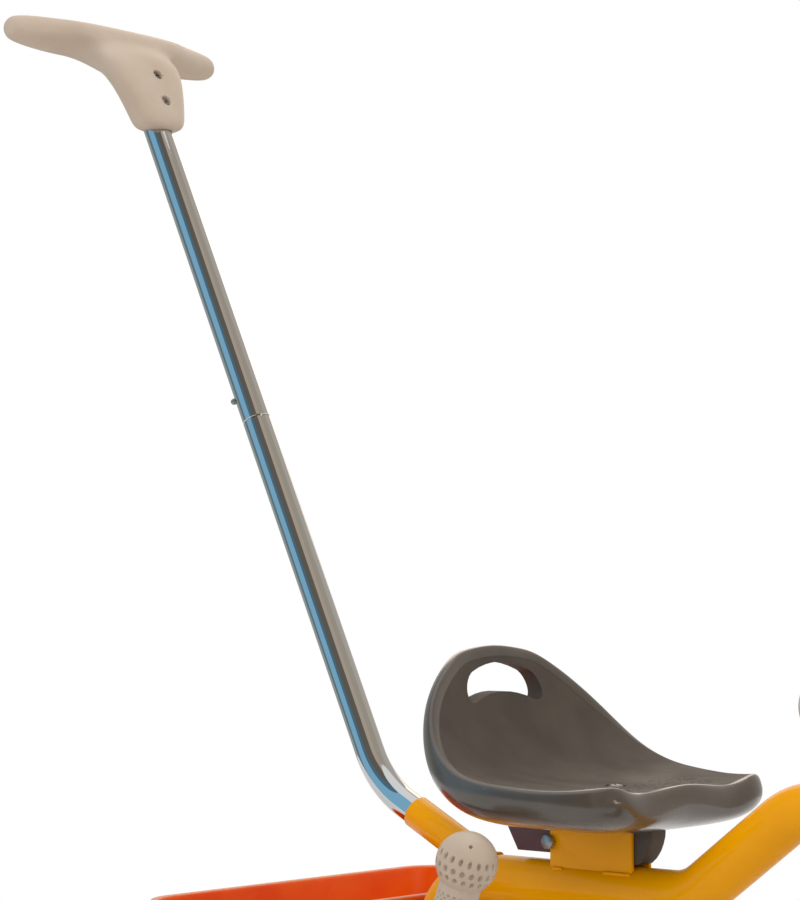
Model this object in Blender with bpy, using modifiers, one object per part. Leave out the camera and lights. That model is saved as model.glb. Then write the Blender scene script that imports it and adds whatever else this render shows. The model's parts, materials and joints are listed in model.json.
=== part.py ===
"""A child's tricycle with a push handle, a tipping bucket, a hand brake and a bucket seat.

Metres, +X forward, +Y to the rider's left, +Z up. The model is laid out from the rear axle on the
floor and centred over the origin at the end.
"""

import math

import bmesh
import bpy
from mathutils import Matrix, Vector

# Fits
GAP = 0.0003
RUNNING_FIT = 0.0003
WASHER_GAP = 0.0015

# Wheels and axles
WHEELBASE = 0.590
REAR_WHEEL_RADIUS = 0.100
REAR_TYRE_WIDTH = 0.038
REAR_TRACK = 0.410
FRONT_WHEEL_RADIUS = 0.130
FRONT_TYRE_WIDTH = 0.042
TYRE_DEPTH = 0.017
TYRE_SHOULDER = 0.010
REAR_WHEEL_STEPS = 24
FRONT_WHEEL_STEPS = 28
RIM_INSET = 0.002
RIM_DEPTH = 0.007
WEB_THICKNESS = 0.007
HUB_RADIUS = 0.021
HUB_HALF_LENGTH = 0.022
FRONT_HUB_HALF_LENGTH = 0.026
AXLE_ROD_RADIUS = 0.005
AXLE_TUBE_RADIUS = 0.014
AXLE_TUBE_WALL = 0.002
AXLE_FLANGE = 0.010
AXLE_PLUG = 0.020
AXLE_NUT_RADIUS = 0.009
AXLE_NUT_LENGTH = 0.005
HUB_CAP_RADIUS = 0.019
HUB_CAP_DEPTH = 0.013
HUB_CAP_WALL = 0.002

# Frame
BACKBONE_RADIUS = 0.018
BACKBONE_WALL = 0.002
BACKBONE_LOW = 0.266
BACKBONE_HIGH = 0.331
REAR_RISE_ANGLE = math.radians(75)
FRONT_RISE_ANGLE = math.radians(37.5)
KINK_X = 0.2583
REAR_BEND = 0.050
KINK_BEND = 0.045
FRONT_BEND = 0.050
HEAD_TUBE_RADIUS = 0.019
HEAD_TUBE_WALL = 0.002
HEAD_TUBE_LENGTH = 0.090
CASTER_ANGLE = math.radians(14)

# Push handle
HANDLE_SOCKET_X = 0.010
HANDLE_SOCKET_Z = 0.310
SOCKET_SLOPE = math.radians(27)
SOCKET_WALL = 0.0009
PUSH_TUBE_RADIUS = 0.011
PUSH_TUBE_WALL = 0.0012
PUSH_TUBE_DEPTH = 0.047
PUSH_BEND_DISTANCE = 0.0396
PUSH_BEND = 0.078
PUSH_SLOPE = math.radians(64.5)
LOWER_TUBE_LENGTH = 0.3103
SPIGOT_LENGTH = 0.060
UPPER_TUBE_LENGTH = 0.3277
GRIP_DROP = 0.0385
GRIP_SETBACK = 0.0177
GRIP_BAR_HALF = 0.114
GRIP_BAR_RADIUS = 0.0158
GRIP_STEM_RADIUS = 0.0215
GRIP_STEM_LENGTH = 0.095
SNAP_BUTTON_RADIUS = 0.0025
SNAP_BUTTON_HEIGHT = 0.0213
SNAP_BUTTON_PROUD = 0.0038
SNAP_BUTTON_TURN = math.radians(42)

# Seat
SEAT_SCREW_X = 0.194
SEAT_EDGE_BULGE = 0.002
SEAT_TRAVEL = 0.020
SEAT_RAIL_WIDTH = 0.0165
SEAT_RAIL_TOP = 0.3105
SEAT_RAIL_BOTTOM = 0.2895
SEAT_RAIL_REAR = 0.101
SEAT_RAIL_FRONT = 0.2035
SEAT_RAIL_CHAMFER = 0.012
SEAT_TONGUE_FRONT = 0.231
SEAT_TONGUE_RAKE = 0.0105
SEAT_PLATE_REAR = 0.145
SEAT_PLATE_FRONT = 0.216
SEAT_PLATE_TOP = 0.3085
SEAT_PLATE_THICKNESS = 0.003
SEAT_BOLT_RADIUS = 0.003
SEAT_CLAMP_Z = 0.2975
GRAB_HOLE_Z = 0.4115
GRAB_HOLE_HALF_WIDTH = 0.042
GRAB_HOLE_HALF_HEIGHT = 0.0105
GRAB_HOLE_SAG = 0.011

# Bucket
BUCKET_FLOOR_Z = 0.150
BUCKET_RIM_Z = 0.250
BUCKET_WALL = 0.0035
BUCKET_REAR = -0.115
BUCKET_FRONT = 0.0115
BUCKET_HALF_WIDTH = 0.160
BUCKET_LIP = 0.007
BUCKET_LIP_DROP = 0.008
BUCKET_CORNER = 0.030
BUCKET_DRAFT = 0.011
BUCKET_PIN_RADIUS = 0.003
BUCKET_PIN_DROP = 0.0072
BUCKET_PIN_X = -0.098
BUCKET_EAR_Y = 0.0625
BUCKET_EAR_THICKNESS = 0.005
BRACKET_THICKNESS = 0.004

# Hand brake
BRAKE_BALL_X = 0.1819
BRAKE_BALL_Z = 0.2962
BRAKE_FROM_WHEEL = 0.060
BRAKE_LEAN = math.radians(20.4)
BRAKE_PIVOT_Z = 0.100
BRAKE_ROD_RADIUS = 0.005
BRAKE_ARM_UP = 0.032
BRAKE_SHOE_GAP = 0.003
BRAKE_SHOE_WIDTH = 0.030
BRAKE_EYE_RADIUS = 0.010
BRAKE_BOLT_RADIUS = 0.003

# Steering
FORK_HALF_WIDTH = 0.038
FORK_TUBE_RADIUS = 0.010
FORK_ARCH_START = 0.112
STEERER_RADIUS = 0.011
STEERER_LENGTH = 0.317
HANDLEBAR_RADIUS = 0.010
HANDLEBAR_CLEARANCE = 0.003
HANDLEBAR_FLAT_HALF = 0.048
HANDLEBAR_CREST_FORWARD = 0.030
HANDLEBAR_CREST_Y = 0.118
HANDLEBAR_CREST_RISE = 0.022
HANDLEBAR_BEND = 0.026
HAND_GRIP_BACK = 0.0132
HAND_GRIP_Y = 0.200
HAND_GRIP_DROP = 0.0417
GRIP_BALL_RADIUS = 0.0205
GRIP_RADIUS = 0.014
GRIP_LENGTH = 0.092
CLAMP_HALF_WIDTH = 0.026

# Pedals
CRANK_LENGTH = 0.078
CRANK_RADIUS = 0.006
CRANK_ANGLE = math.radians(25)
CRANK_ARM_Y = 0.0600
CRANK_BEND = 0.009
PEDAL_LENGTH = 0.082
PEDAL_WIDTH = 0.062
PEDAL_THICKNESS = 0.025
FORK_EYE_RADIUS = 0.015
FORK_EYE_INNER = 0.0275
FORK_EYE_OUTER = 0.0485

LEFT_RIGHT = (("left", 1), ("right", -1))
UP = Vector((0, 0, 1))
ACROSS = Vector((0, 1, 0))


def xz(x, z, y=0.0):
    return Vector((x, y, z))


BRAKE_Y = BRAKE_FROM_WHEEL - REAR_TRACK / 2
HANDLEBAR_UP = STEERER_LENGTH + HANDLEBAR_RADIUS + HANDLEBAR_CLEARANCE
REAR_AXLE = xz(0, REAR_WHEEL_RADIUS)
FRONT_AXLE = xz(WHEELBASE, FRONT_WHEEL_RADIUS)
STEER_AXIS = Vector((-math.sin(CASTER_ANGLE), 0, math.cos(CASTER_ANGLE)))
HEAD_CENTRE = FRONT_AXLE + STEER_AXIS * (BACKBONE_HIGH - FRONT_WHEEL_RADIUS) / STEER_AXIS.z
SOCKET_MOUTH = xz(HANDLE_SOCKET_X, HANDLE_SOCKET_Z)
SOCKET_AXIS = Vector((math.cos(SOCKET_SLOPE), 0, -math.sin(SOCKET_SLOPE)))
PUSH_AXIS = Vector((-math.cos(PUSH_SLOPE), 0, math.sin(PUSH_SLOPE)))
PUSH_FRONT = Vector((math.sin(PUSH_SLOPE), 0, math.cos(PUSH_SLOPE)))
PUSH_CORNER = SOCKET_MOUTH - SOCKET_AXIS * PUSH_BEND_DISTANCE
PUSH_JOINT = PUSH_CORNER + PUSH_AXIS * LOWER_TUBE_LENGTH
UPPER_TUBE_TOP = PUSH_JOINT + PUSH_AXIS * UPPER_TUBE_LENGTH
GRIP_CENTRE = UPPER_TUBE_TOP + PUSH_AXIS * GRIP_DROP - PUSH_FRONT * GRIP_SETBACK
BUCKET_PIN = xz(BUCKET_PIN_X, BUCKET_FLOOR_Z - BUCKET_PIN_DROP)
BRAKE_AXIS = Vector((math.sin(BRAKE_LEAN), 0, math.cos(BRAKE_LEAN)))
BRAKE_BALL = xz(BRAKE_BALL_X, BRAKE_BALL_Z, BRAKE_Y)
BRAKE_PIVOT = BRAKE_BALL - BRAKE_AXIS * (BRAKE_BALL_Z - BRAKE_PIVOT_Z) / BRAKE_AXIS.z
AXLE_TUBE_HALF = REAR_TRACK / 2 - HUB_HALF_LENGTH - AXLE_FLANGE - 2 * GAP
PUSH_BORE = PUSH_TUBE_RADIUS - PUSH_TUBE_WALL
SPIGOT_RADIUS = PUSH_BORE - RUNNING_FIT
SNAP_TRAVEL = SNAP_BUTTON_PROUD + PUSH_TUBE_WALL + 0.0002
SNAP_WAY = -PUSH_FRONT * math.cos(SNAP_BUTTON_TURN) - ACROSS * math.sin(SNAP_BUTTON_TURN)

# Half of the seat's rim from the middle of the back to the middle of the front edge
SEAT_RIM = (
    (0.089, 0.000, 0.4345),
    (0.090, 0.045, 0.428),
    (0.099, 0.077, 0.409),
    (0.112, 0.101, 0.387),
    (0.132, 0.116, 0.364),
    (0.157, 0.122, 0.3515),
    (0.188, 0.118, 0.3475),
    (0.216, 0.1115, 0.345),
    (0.238, 0.1040, 0.3465),
    (0.249, 0.0935, 0.3480),
    (0.2540, 0.0765, 0.3480),
    (0.2560, 0.0000, 0.3455),
)
# The seat's centre line at the same stations, and the shell's depth there
SEAT_CENTRE = (
    (0.089, 0.4345),
    (0.088, 0.426),
    (0.091, 0.404),
    (0.099, 0.380),
    (0.117, 0.355),
    (0.145, 0.341),
    (0.180, 0.3375),
    (0.212, 0.3375),
    (0.235, 0.3380),
    (0.2475, 0.3420),
    (0.2560, 0.3485),
    (0.2560, 0.3485),
)
SEAT_DEPTH = (0.012, 0.012, 0.013, 0.016, 0.026, 0.032, 0.029, 0.028, 0.029, 0.026, 0.020, 0.020)
# Height of the top edge beside its middle, and how far the last rows dip under the thighs
SEAT_BACK_SHOULDER = 0.431
SEAT_THIGH_DIPS = (0.002, 0.006, 0.0135)


def clear_scene():
    for old in list(bpy.data.objects):
        bpy.data.objects.remove(old, do_unlink=True)


def collection(name):
    made = bpy.data.collections.new(name)
    bpy.context.scene.collection.children.link(made)
    return made


def material(name, colour, roughness, metallic=0.0):
    made = bpy.data.materials.new(name)
    made.use_nodes = True
    made.diffuse_color = (*colour, 1)
    shader = made.node_tree.nodes["Principled BSDF"]
    shader.inputs["Base Color"].default_value = (*colour, 1)
    shader.inputs["Roughness"].default_value = roughness
    shader.inputs["Metallic"].default_value = metallic
    return made


clear_scene()
PARTS = collection("tricycle")
CUTTERS = collection("cutters")
CENTRE = bpy.data.objects.new("tricycle_centre", None)
PARTS.objects.link(CENTRE)

YELLOW_ENAMEL = material("yellow_enamel", (0.74, 0.27, 0.004), 0.25)
CHROME = material("chrome_plate", (0.62, 0.62, 0.63), 0.08, 1.0)
ZINC = material("zinc_plate", (0.55, 0.55, 0.56), 0.35, 1.0)
CREAM_PLASTIC = material("cream_plastic", (0.56, 0.47, 0.37), 0.45)
SEAT_PLASTIC = material("seat_plastic", (0.085, 0.070, 0.058), 0.35)
MAROON_PLASTIC = material("maroon_plastic", (0.085, 0.040, 0.042), 0.5)
ORANGE_PLASTIC = material("orange_plastic", (0.77, 0.09, 0.004), 0.35)
TYRE_RUBBER = material("tyre_rubber", (0.030, 0.029, 0.028), 0.7)


def add(obj, finish):
    """Put a finished sub-part into the tricycle."""
    PARTS.objects.link(obj)
    obj.parent = CENTRE
    obj.data.materials.clear()
    obj.data.materials.append(finish)
    return obj


def add_cutter(obj):
    CUTTERS.objects.link(obj)
    obj.parent = CENTRE
    obj.hide_render = True
    obj.display_type = "WIRE"
    return obj


def smooth(mesh, angle=40):
    mesh.shade_smooth()
    mesh.set_sharp_from_angle(angle=math.radians(angle))


def along(start, end):
    """A matrix whose Z runs from start to end and whose origin is at start."""
    turn = (end - start).to_track_quat("Z", "Y").to_matrix().to_4x4()
    return Matrix.Translation(start) @ turn


def rod(name, start, end, radius, sides=20, end_radius=None):
    """A round bar between two points, or a cone where end_radius differs."""
    length = (end - start).length
    shape = bmesh.new()
    bmesh.ops.create_cone(
        shape,
        cap_ends=True,
        segments=sides,
        radius1=radius,
        radius2=radius if end_radius is None else end_radius,
        depth=length,
        matrix=Matrix.Translation((0, 0, length / 2)),
    )
    mesh = bpy.data.meshes.new(name)
    shape.to_mesh(mesh)
    shape.free()
    smooth(mesh)
    obj = bpy.data.objects.new(name, mesh)
    obj.matrix_world = along(start, end)
    return obj


def box(name, low, high, bevel=0.0):
    """A block between two corners, with rounded edges where bevel is given."""
    low, high = Vector(low), Vector(high)
    shape = bmesh.new()
    size = Matrix.Diagonal((*(high - low), 1))
    bmesh.ops.create_cube(shape, size=1, matrix=size)
    mesh = bpy.data.meshes.new(name)
    shape.to_mesh(mesh)
    shape.free()
    obj = bpy.data.objects.new(name, mesh)
    obj.location = (low + high) / 2
    if bevel:
        rounding = obj.modifiers.new("rounded edges", "BEVEL")
        rounding.width = bevel
        rounding.segments = 2
    return obj


def turned(name, start, end, profile, steps=24):
    """A shape turned about the line from start to end. The profile is (radius, distance along)."""
    mesh = bpy.data.meshes.new(name)
    closed = profile[0][0] > 0 or profile[-1][0] > 0
    edges = [(i, i + 1) for i in range(len(profile) - 1)]
    if closed:
        edges.append((len(profile) - 1, 0))
    mesh.from_pydata([(radius, 0, height) for radius, height in profile], edges, [])
    obj = bpy.data.objects.new(name, mesh)
    obj.matrix_world = along(start, end)
    screw = obj.modifiers.new("turned", "SCREW")
    screw.steps = steps
    screw.render_steps = steps
    screw.use_merge_vertices = True
    screw.merge_threshold = 0.00001
    screw.use_smooth_shade = True
    return obj


def bent_path(corners, radii, step=math.radians(11)):
    """The corners of a bent tube's centre line with each inner corner rounded to its radius."""
    points = [corners[0]]
    for before, corner, after, radius in zip(corners, corners[1:], corners[2:], radii):
        into = (corner - before).normalized()
        out = (after - corner).normalized()
        angle = into.angle(out)
        tangent = radius * math.tan(angle / 2)
        start = corner - into * tangent
        side = (out - into * out.dot(into)).normalized()
        count = max(2, math.ceil(angle / step))
        for i in range(count + 1):
            turn = angle * i / count
            sweep = into * math.sin(turn) + side * (1 - math.cos(turn))
            points.append(start + sweep * radius)
    points.append(corners[-1])
    return points


def tube_curve(name, points, radius, resolution=4):
    """A round bar that follows the points, as a curve with filled ends."""
    curve = bpy.data.curves.new(name, "CURVE")
    curve.dimensions = "3D"
    curve.bevel_depth = radius
    curve.bevel_resolution = resolution
    curve.use_fill_caps = True
    spline = curve.splines.new("POLY")
    spline.points.add(len(points) - 1)
    for place, point in zip(spline.points, points):
        place.co = (*point, 1)
    return bpy.data.objects.new(name, curve)


def mesh_of(obj):
    """A mesh copy of an object as it is evaluated, with the caps of a curve joined to its sides."""
    bpy.context.scene.collection.objects.link(obj)
    bpy.context.view_layer.update()
    evaluated = obj.evaluated_get(bpy.context.evaluated_depsgraph_get())
    mesh = bpy.data.meshes.new_from_object(evaluated)
    shape = bmesh.new()
    shape.from_mesh(mesh)
    bmesh.ops.remove_doubles(shape, verts=shape.verts, dist=0.000005)
    bmesh.ops.recalc_face_normals(shape, faces=shape.faces)
    shape.to_mesh(mesh)
    shape.free()
    smooth(mesh)
    name = obj.name
    place = obj.matrix_world.copy()
    bpy.data.objects.remove(obj)
    made = bpy.data.objects.new(name, mesh)
    made.matrix_world = place
    return made


def bent_bar(name, points, radius, resolution=4):
    return mesh_of(tube_curve(name, points, radius, resolution))


def boolean(obj, tool, operation):
    step = obj.modifiers.new(operation.lower(), "BOOLEAN")
    step.operation = operation
    step.solver = "EXACT"
    step.object = add_cutter(tool)
    return obj


def cut(obj, tool):
    return boolean(obj, tool, "DIFFERENCE")


def join(obj, tool):
    return boolean(obj, tool, "UNION")


def bore(obj, start, end, radius, sides=20):
    """Drill a round hole between two points."""
    return cut(obj, rod(obj.name + "_bore", start, end, radius, sides))


def plate(name, loops, low_y, high_y):
    """A flat plate in the XZ plane between two values of Y. Loops after the first are holes."""
    curve = bpy.data.curves.new(name, "CURVE")
    curve.dimensions = "2D"
    curve.fill_mode = "BOTH"
    curve.extrude = (high_y - low_y) / 2
    for loop in loops:
        spline = curve.splines.new("POLY")
        spline.points.add(len(loop) - 1)
        spline.use_cyclic_u = True
        for place, (x, z) in zip(spline.points, loop):
            place.co = (x, z, 0, 1)
    obj = bpy.data.objects.new(name, curve)
    middle = (low_y + high_y) / 2
    obj.matrix_world = Matrix.Translation((0, middle, 0)) @ Matrix.Rotation(math.pi / 2, 4, "X")
    return mesh_of(obj)


def circle(x, z, radius, count=16):
    turns = [2 * math.pi * i / count for i in range(count)]
    return [(x + radius * math.cos(turn), z + radius * math.sin(turn)) for turn in turns]


def outline_round(circles, count=24):
    """The outline that a belt round some circles takes: their convex hull, counter-clockwise."""
    points = sorted(point for each in circles for point in circle(*each, count))
    halves = []
    for row in (points, points[::-1]):
        chain = []
        for point in row:
            while len(chain) > 1:
                (ax, az), (bx, bz) = chain[-2:]
                turn = (bx - ax) * (point[1] - az) - (bz - az) * (point[0] - ax)
                if turn > 1e-12:
                    break
                chain.pop()
            chain.append(point)
        halves += chain[:-1]
    return halves


def backbone_points():
    rise = REAR_RISE_ANGLE
    rear_corner = xz((BACKBONE_LOW - REAR_WHEEL_RADIUS) / math.tan(rise), BACKBONE_LOW)
    kink = xz(KINK_X, BACKBONE_LOW)
    climb = BACKBONE_HIGH - BACKBONE_LOW
    front_corner = xz(KINK_X + climb / math.tan(FRONT_RISE_ANGLE), BACKBONE_HIGH)
    corners = [REAR_AXLE, rear_corner, kink, front_corner, HEAD_CENTRE]
    return bent_path(corners, [REAR_BEND, KINK_BEND, FRONT_BEND])


def stretched(points, amount):
    """The same path with both ends run on by an amount."""
    first = points[0] + (points[0] - points[1]).normalized() * amount
    last = points[-1] + (points[-1] - points[-2]).normalized() * amount
    return [first] + points[1:-1] + [last]


def frame_parts():
    points = backbone_points()
    across = ACROSS * (REAR_TRACK / 2)
    head_low = HEAD_CENTRE - STEER_AXIS * HEAD_TUBE_LENGTH / 2
    head_high = HEAD_CENTRE + STEER_AXIS * HEAD_TUBE_LENGTH / 2

    backbone = bent_bar("backbone_tube", points, BACKBONE_RADIUS)
    inside = bent_bar(
        "backbone_inside", stretched(points, BACKBONE_RADIUS), BACKBONE_RADIUS - BACKBONE_WALL, 2
    )
    cut(backbone, inside)
    axle_space = AXLE_TUBE_RADIUS + GAP
    bore(backbone, REAR_AXLE - across, REAR_AXLE + across, axle_space)
    reach = STEER_AXIS * BACKBONE_RADIUS
    bore(backbone, head_low - reach, head_high + reach, HEAD_TUBE_RADIUS + GAP, 24)
    add(backbone, YELLOW_ENAMEL)

    head = rod("head_tube", head_low, head_high, HEAD_TUBE_RADIUS, 24)
    bore(head, head_low - reach, head_high + reach, HEAD_TUBE_RADIUS - HEAD_TUBE_WALL)
    add(head, YELLOW_ENAMEL)

    half = ACROSS * AXLE_TUBE_HALF
    axle_tube = rod("rear_axle_tube", REAR_AXLE - half, REAR_AXLE + half, AXLE_TUBE_RADIUS)
    bore(axle_tube, REAR_AXLE - across, REAR_AXLE + across, AXLE_TUBE_RADIUS - AXLE_TUBE_WALL)
    add(axle_tube, YELLOW_ENAMEL)

    meeting = (HANDLE_SOCKET_Z - BACKBONE_LOW) / math.sin(SOCKET_SLOPE)
    socket_bore = PUSH_TUBE_RADIUS + GAP
    end = SOCKET_MOUTH + SOCKET_AXIS * meeting
    socket = rod("handle_socket", SOCKET_MOUTH, end, socket_bore + SOCKET_WALL)
    spare = SOCKET_AXIS * socket_bore
    bore(socket, SOCKET_MOUTH - spare, end + spare, socket_bore)
    cut(socket, bent_bar("socket_cope", points, BACKBONE_RADIUS + GAP))
    add(socket, YELLOW_ENAMEL)

    seat_plates(points)


def seat_plates(points):
    """Two upright plates on the backbone, which hold the seat's rail between them."""
    inner = SEAT_RAIL_WIDTH / 2 + GAP
    outer = inner + SEAT_PLATE_THICKNESS
    notch = SEAT_BOLT_RADIUS + GAP
    arc = [math.radians(90 - 22.5 * i) for i in range(9)]
    rear_notch = [
        (SEAT_PLATE_REAR + notch * math.cos(turn), SEAT_CLAMP_Z + notch * math.sin(turn))
        for turn in arc
    ]
    outline = [
        (SEAT_PLATE_FRONT, BACKBONE_LOW),
        (SEAT_PLATE_FRONT, SEAT_PLATE_TOP),
        (SEAT_PLATE_REAR, SEAT_PLATE_TOP),
        *rear_notch,
        (SEAT_PLATE_REAR, BACKBONE_LOW),
    ]
    for side, sign in LEFT_RIGHT:
        low, high = sorted((sign * inner, sign * outer))
        sheet = plate("seat_plate_" + side, [outline], low, high)
        cut(sheet, bent_bar("plate_cope_" + side, points, BACKBONE_RADIUS + GAP))
        add(sheet, YELLOW_ENAMEL)


def headed_pin(name, start, end, radius, head_radius, head_length, tail_length):
    """A pin with a head at its start and a wider nut or riveted tail at its end."""
    length = (end - start).length
    profile = [
        (0, length),
        (head_radius, length),
        (head_radius, length - tail_length),
        (radius, length - tail_length),
        (radius, head_length),
        (head_radius, head_length),
        (head_radius, 0),
        (0, 0),
    ]
    return turned(name, start, end, profile, 16)


def hex_nut(name, start, end, radius, hole):
    nut = rod(name, start, end, radius, 6)
    spare = (end - start).normalized() * radius
    return bore(nut, start - spare, end + spare, hole, 12)


def headed_bolt(name, start, end, radius, head_radius, head_length):
    """A bolt from its head's outer face to its tip, with a hexagon head."""
    way = (end - start).normalized()
    head = rod(name, start, start + way * head_length, head_radius, 6)
    return join(head, rod(name + "_shank", start + way * head_length / 2, end, radius, 12))


def seat_fastening():
    """The bolt through the plates' notches and the rail's slot, with its nut."""
    outer = SEAT_RAIL_WIDTH / 2 + GAP + SEAT_PLATE_THICKNESS + GAP
    head = 0.004
    head_radius = 0.0055
    place = xz(SEAT_PLATE_REAR, SEAT_CLAMP_Z)
    start = place - ACROSS * (outer + head)
    end = place + ACROSS * (outer + 2 * head)
    add(headed_bolt("seat_clamp_bolt", start, end, SEAT_BOLT_RADIUS, head_radius, head), ZINC)
    nut_start = place + ACROSS * outer
    hole = SEAT_BOLT_RADIUS + GAP
    nut = hex_nut("seat_clamp_nut", nut_start, nut_start + ACROSS * head, head_radius, hole)
    add(nut, ZINC)


def rear_axle_parts():
    tube_bore = AXLE_TUBE_RADIUS - AXLE_TUBE_WALL
    hub_end = REAR_TRACK / 2 + HUB_HALF_LENGTH
    rod_half = hub_end + GAP + AXLE_NUT_LENGTH + 0.002
    half = ACROSS * rod_half
    add(rod("rear_axle_rod", REAR_AXLE - half, REAR_AXLE + half, AXLE_ROD_RADIUS, 16), ZINC)
    for side, sign in LEFT_RIGHT:
        out = ACROSS * sign
        start = REAR_AXLE + out * (AXLE_TUBE_HALF - AXLE_PLUG)
        inner = AXLE_ROD_RADIUS + GAP
        flange = AXLE_PLUG + GAP
        length = flange + AXLE_FLANGE
        profile = [
            (AXLE_TUBE_RADIUS - 0.002, length),
            (AXLE_TUBE_RADIUS, length - 0.002),
            (AXLE_TUBE_RADIUS, flange),
            (tube_bore - GAP, flange),
            (tube_bore - GAP, 0),
            (inner, 0),
            (inner, length),
        ]
        bush = turned("axle_bush_" + side, start, start + out, profile, 20)
        add(bush, MAROON_PLASTIC)
        nut_start = REAR_AXLE + out * (hub_end + GAP)
        profile = [
            (AXLE_NUT_RADIUS * 0.6, AXLE_NUT_LENGTH),
            (AXLE_NUT_RADIUS, AXLE_NUT_LENGTH * 0.4),
            (AXLE_NUT_RADIUS, 0),
            (inner, 0),
            (inner, AXLE_NUT_LENGTH),
        ]
        add(turned("axle_push_nut_" + side, nut_start, nut_start + out, profile, 16), ZINC)


def tyre(name, centre, radius, width, steps):
    """A moulded tread band with round shoulders, turned about the wheel's axis."""
    seat = radius - TYRE_DEPTH
    half = width / 2
    profile = [(seat, half)]
    for sign in (1, -1):
        turns = [math.radians(90 * i / 3) for i in range(4)]
        arc = [
            (
                radius - TYRE_SHOULDER * (1 - math.cos(turn)),
                sign * (half - TYRE_SHOULDER * (1 - math.sin(turn))),
            )
            for turn in turns
        ]
        profile += arc[::-1] if sign > 0 else arc
    profile.append((seat, -half))
    return add(turned(name, centre, centre + ACROSS, profile, steps), TYRE_RUBBER)


def wheel(name, centre, radius, width, hub_half, hole, steps):
    """A moulded wheel: a rim band, a web and a hub with a through bore."""
    outside = radius - TYRE_DEPTH - GAP
    half = width / 2 - RIM_INSET
    inside = outside - RIM_DEPTH
    web = WEB_THICKNESS / 2
    slope = inside - RIM_DEPTH
    profile = [
        (outside, half),
        (outside, -half),
        (inside, -half),
        (slope, -web),
        (HUB_RADIUS, -web),
        (HUB_RADIUS - 0.002, -hub_half),
        (hole, -hub_half),
        (hole, hub_half),
        (HUB_RADIUS - 0.002, hub_half),
        (HUB_RADIUS, web),
        (slope, web),
        (inside, half),
    ]
    return add(turned(name, centre, centre + ACROSS, profile, steps), CREAM_PLASTIC)


def rear_wheels():
    for side, sign in LEFT_RIGHT:
        out = ACROSS * sign
        centre = REAR_AXLE + out * (REAR_TRACK / 2)
        size = (centre, REAR_WHEEL_RADIUS, REAR_TYRE_WIDTH)
        tyre("rear_tyre_" + side, *size, REAR_WHEEL_STEPS)
        hole = AXLE_ROD_RADIUS + RUNNING_FIT
        wheel("rear_wheel_" + side, *size, HUB_HALF_LENGTH, hole, REAR_WHEEL_STEPS)
        start = centre + out * (HUB_HALF_LENGTH + GAP)
        shell = HUB_CAP_WALL
        turns = [math.radians(90 * i / 3) for i in range(4)]
        outer = [(HUB_CAP_RADIUS * math.sin(t), HUB_CAP_DEPTH * math.cos(t)) for t in turns]
        inner_radius = HUB_CAP_RADIUS - shell
        inner_depth = HUB_CAP_DEPTH - shell
        inner = [(inner_radius * math.sin(t), inner_depth * math.cos(t)) for t in turns[::-1]]
        cap = turned("hub_cap_" + side, start, start + out, outer + inner, 18)
        add(cap, ORANGE_PLASTIC)


def front_wheel():
    size = (FRONT_AXLE, FRONT_WHEEL_RADIUS, FRONT_TYRE_WIDTH)
    tyre("front_tyre", *size, FRONT_WHEEL_STEPS)
    hole = CRANK_RADIUS + GAP
    wheel("front_wheel", *size, FRONT_HUB_HALF_LENGTH, hole, FRONT_WHEEL_STEPS)


def crank_offset(sign):
    """From the front axle to a pedal's pin."""
    turn = CRANK_ANGLE + (0 if sign > 0 else math.pi)
    return Vector((math.cos(turn), 0, math.sin(turn))) * CRANK_LENGTH


def pedal_start():
    return CRANK_ARM_Y + CRANK_BEND + 0.004


def crank_and_pedals():
    end_y = pedal_start() + PEDAL_LENGTH + 0.008
    arm = ACROSS * CRANK_ARM_Y
    left, right = crank_offset(1), crank_offset(-1)
    corners = [
        FRONT_AXLE + left + ACROSS * end_y,
        FRONT_AXLE + left + arm,
        FRONT_AXLE + arm,
        FRONT_AXLE - arm,
        FRONT_AXLE + right - arm,
        FRONT_AXLE + right - ACROSS * end_y,
    ]
    points = bent_path(corners, [CRANK_BEND] * 4, math.radians(24))
    add(bent_bar("crank_axle", points, CRANK_RADIUS, 3), ZINC)
    for side, sign in LEFT_RIGHT:
        out = ACROSS * sign
        pin = FRONT_AXLE + crank_offset(sign)
        inner, outer = pedal_start(), pedal_start() + PEDAL_LENGTH
        low_y, high_y = sorted((sign * inner, sign * outer))
        half = Vector((PEDAL_WIDTH / 2, 0, PEDAL_THICKNESS / 2))
        low, high = pin - half, pin + half
        low.y, high.y = low_y, high_y
        pedal = box("pedal_" + side, low, high, 0.006)
        bore(pedal, pin, pin + out * (outer + 0.01), CRANK_RADIUS + RUNNING_FIT, 16)
        add(pedal, MAROON_PLASTIC)
        cap_start = pin + out * (outer + 0.001)
        hole = CRANK_RADIUS + GAP
        profile = [
            (0, 0.0105),
            (0.006, 0.0095),
            (0.010, 0.005),
            (0.010, 0),
            (hole, 0),
            (hole, 0.0075),
            (0, 0.0075),
        ]
        cap = turned("pedal_cap_" + side, cap_start, cap_start + out, profile, 16)
        add(cap, ORANGE_PLASTIC)


def on_steering(height):
    return FRONT_AXLE + STEER_AXIS * height


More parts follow.
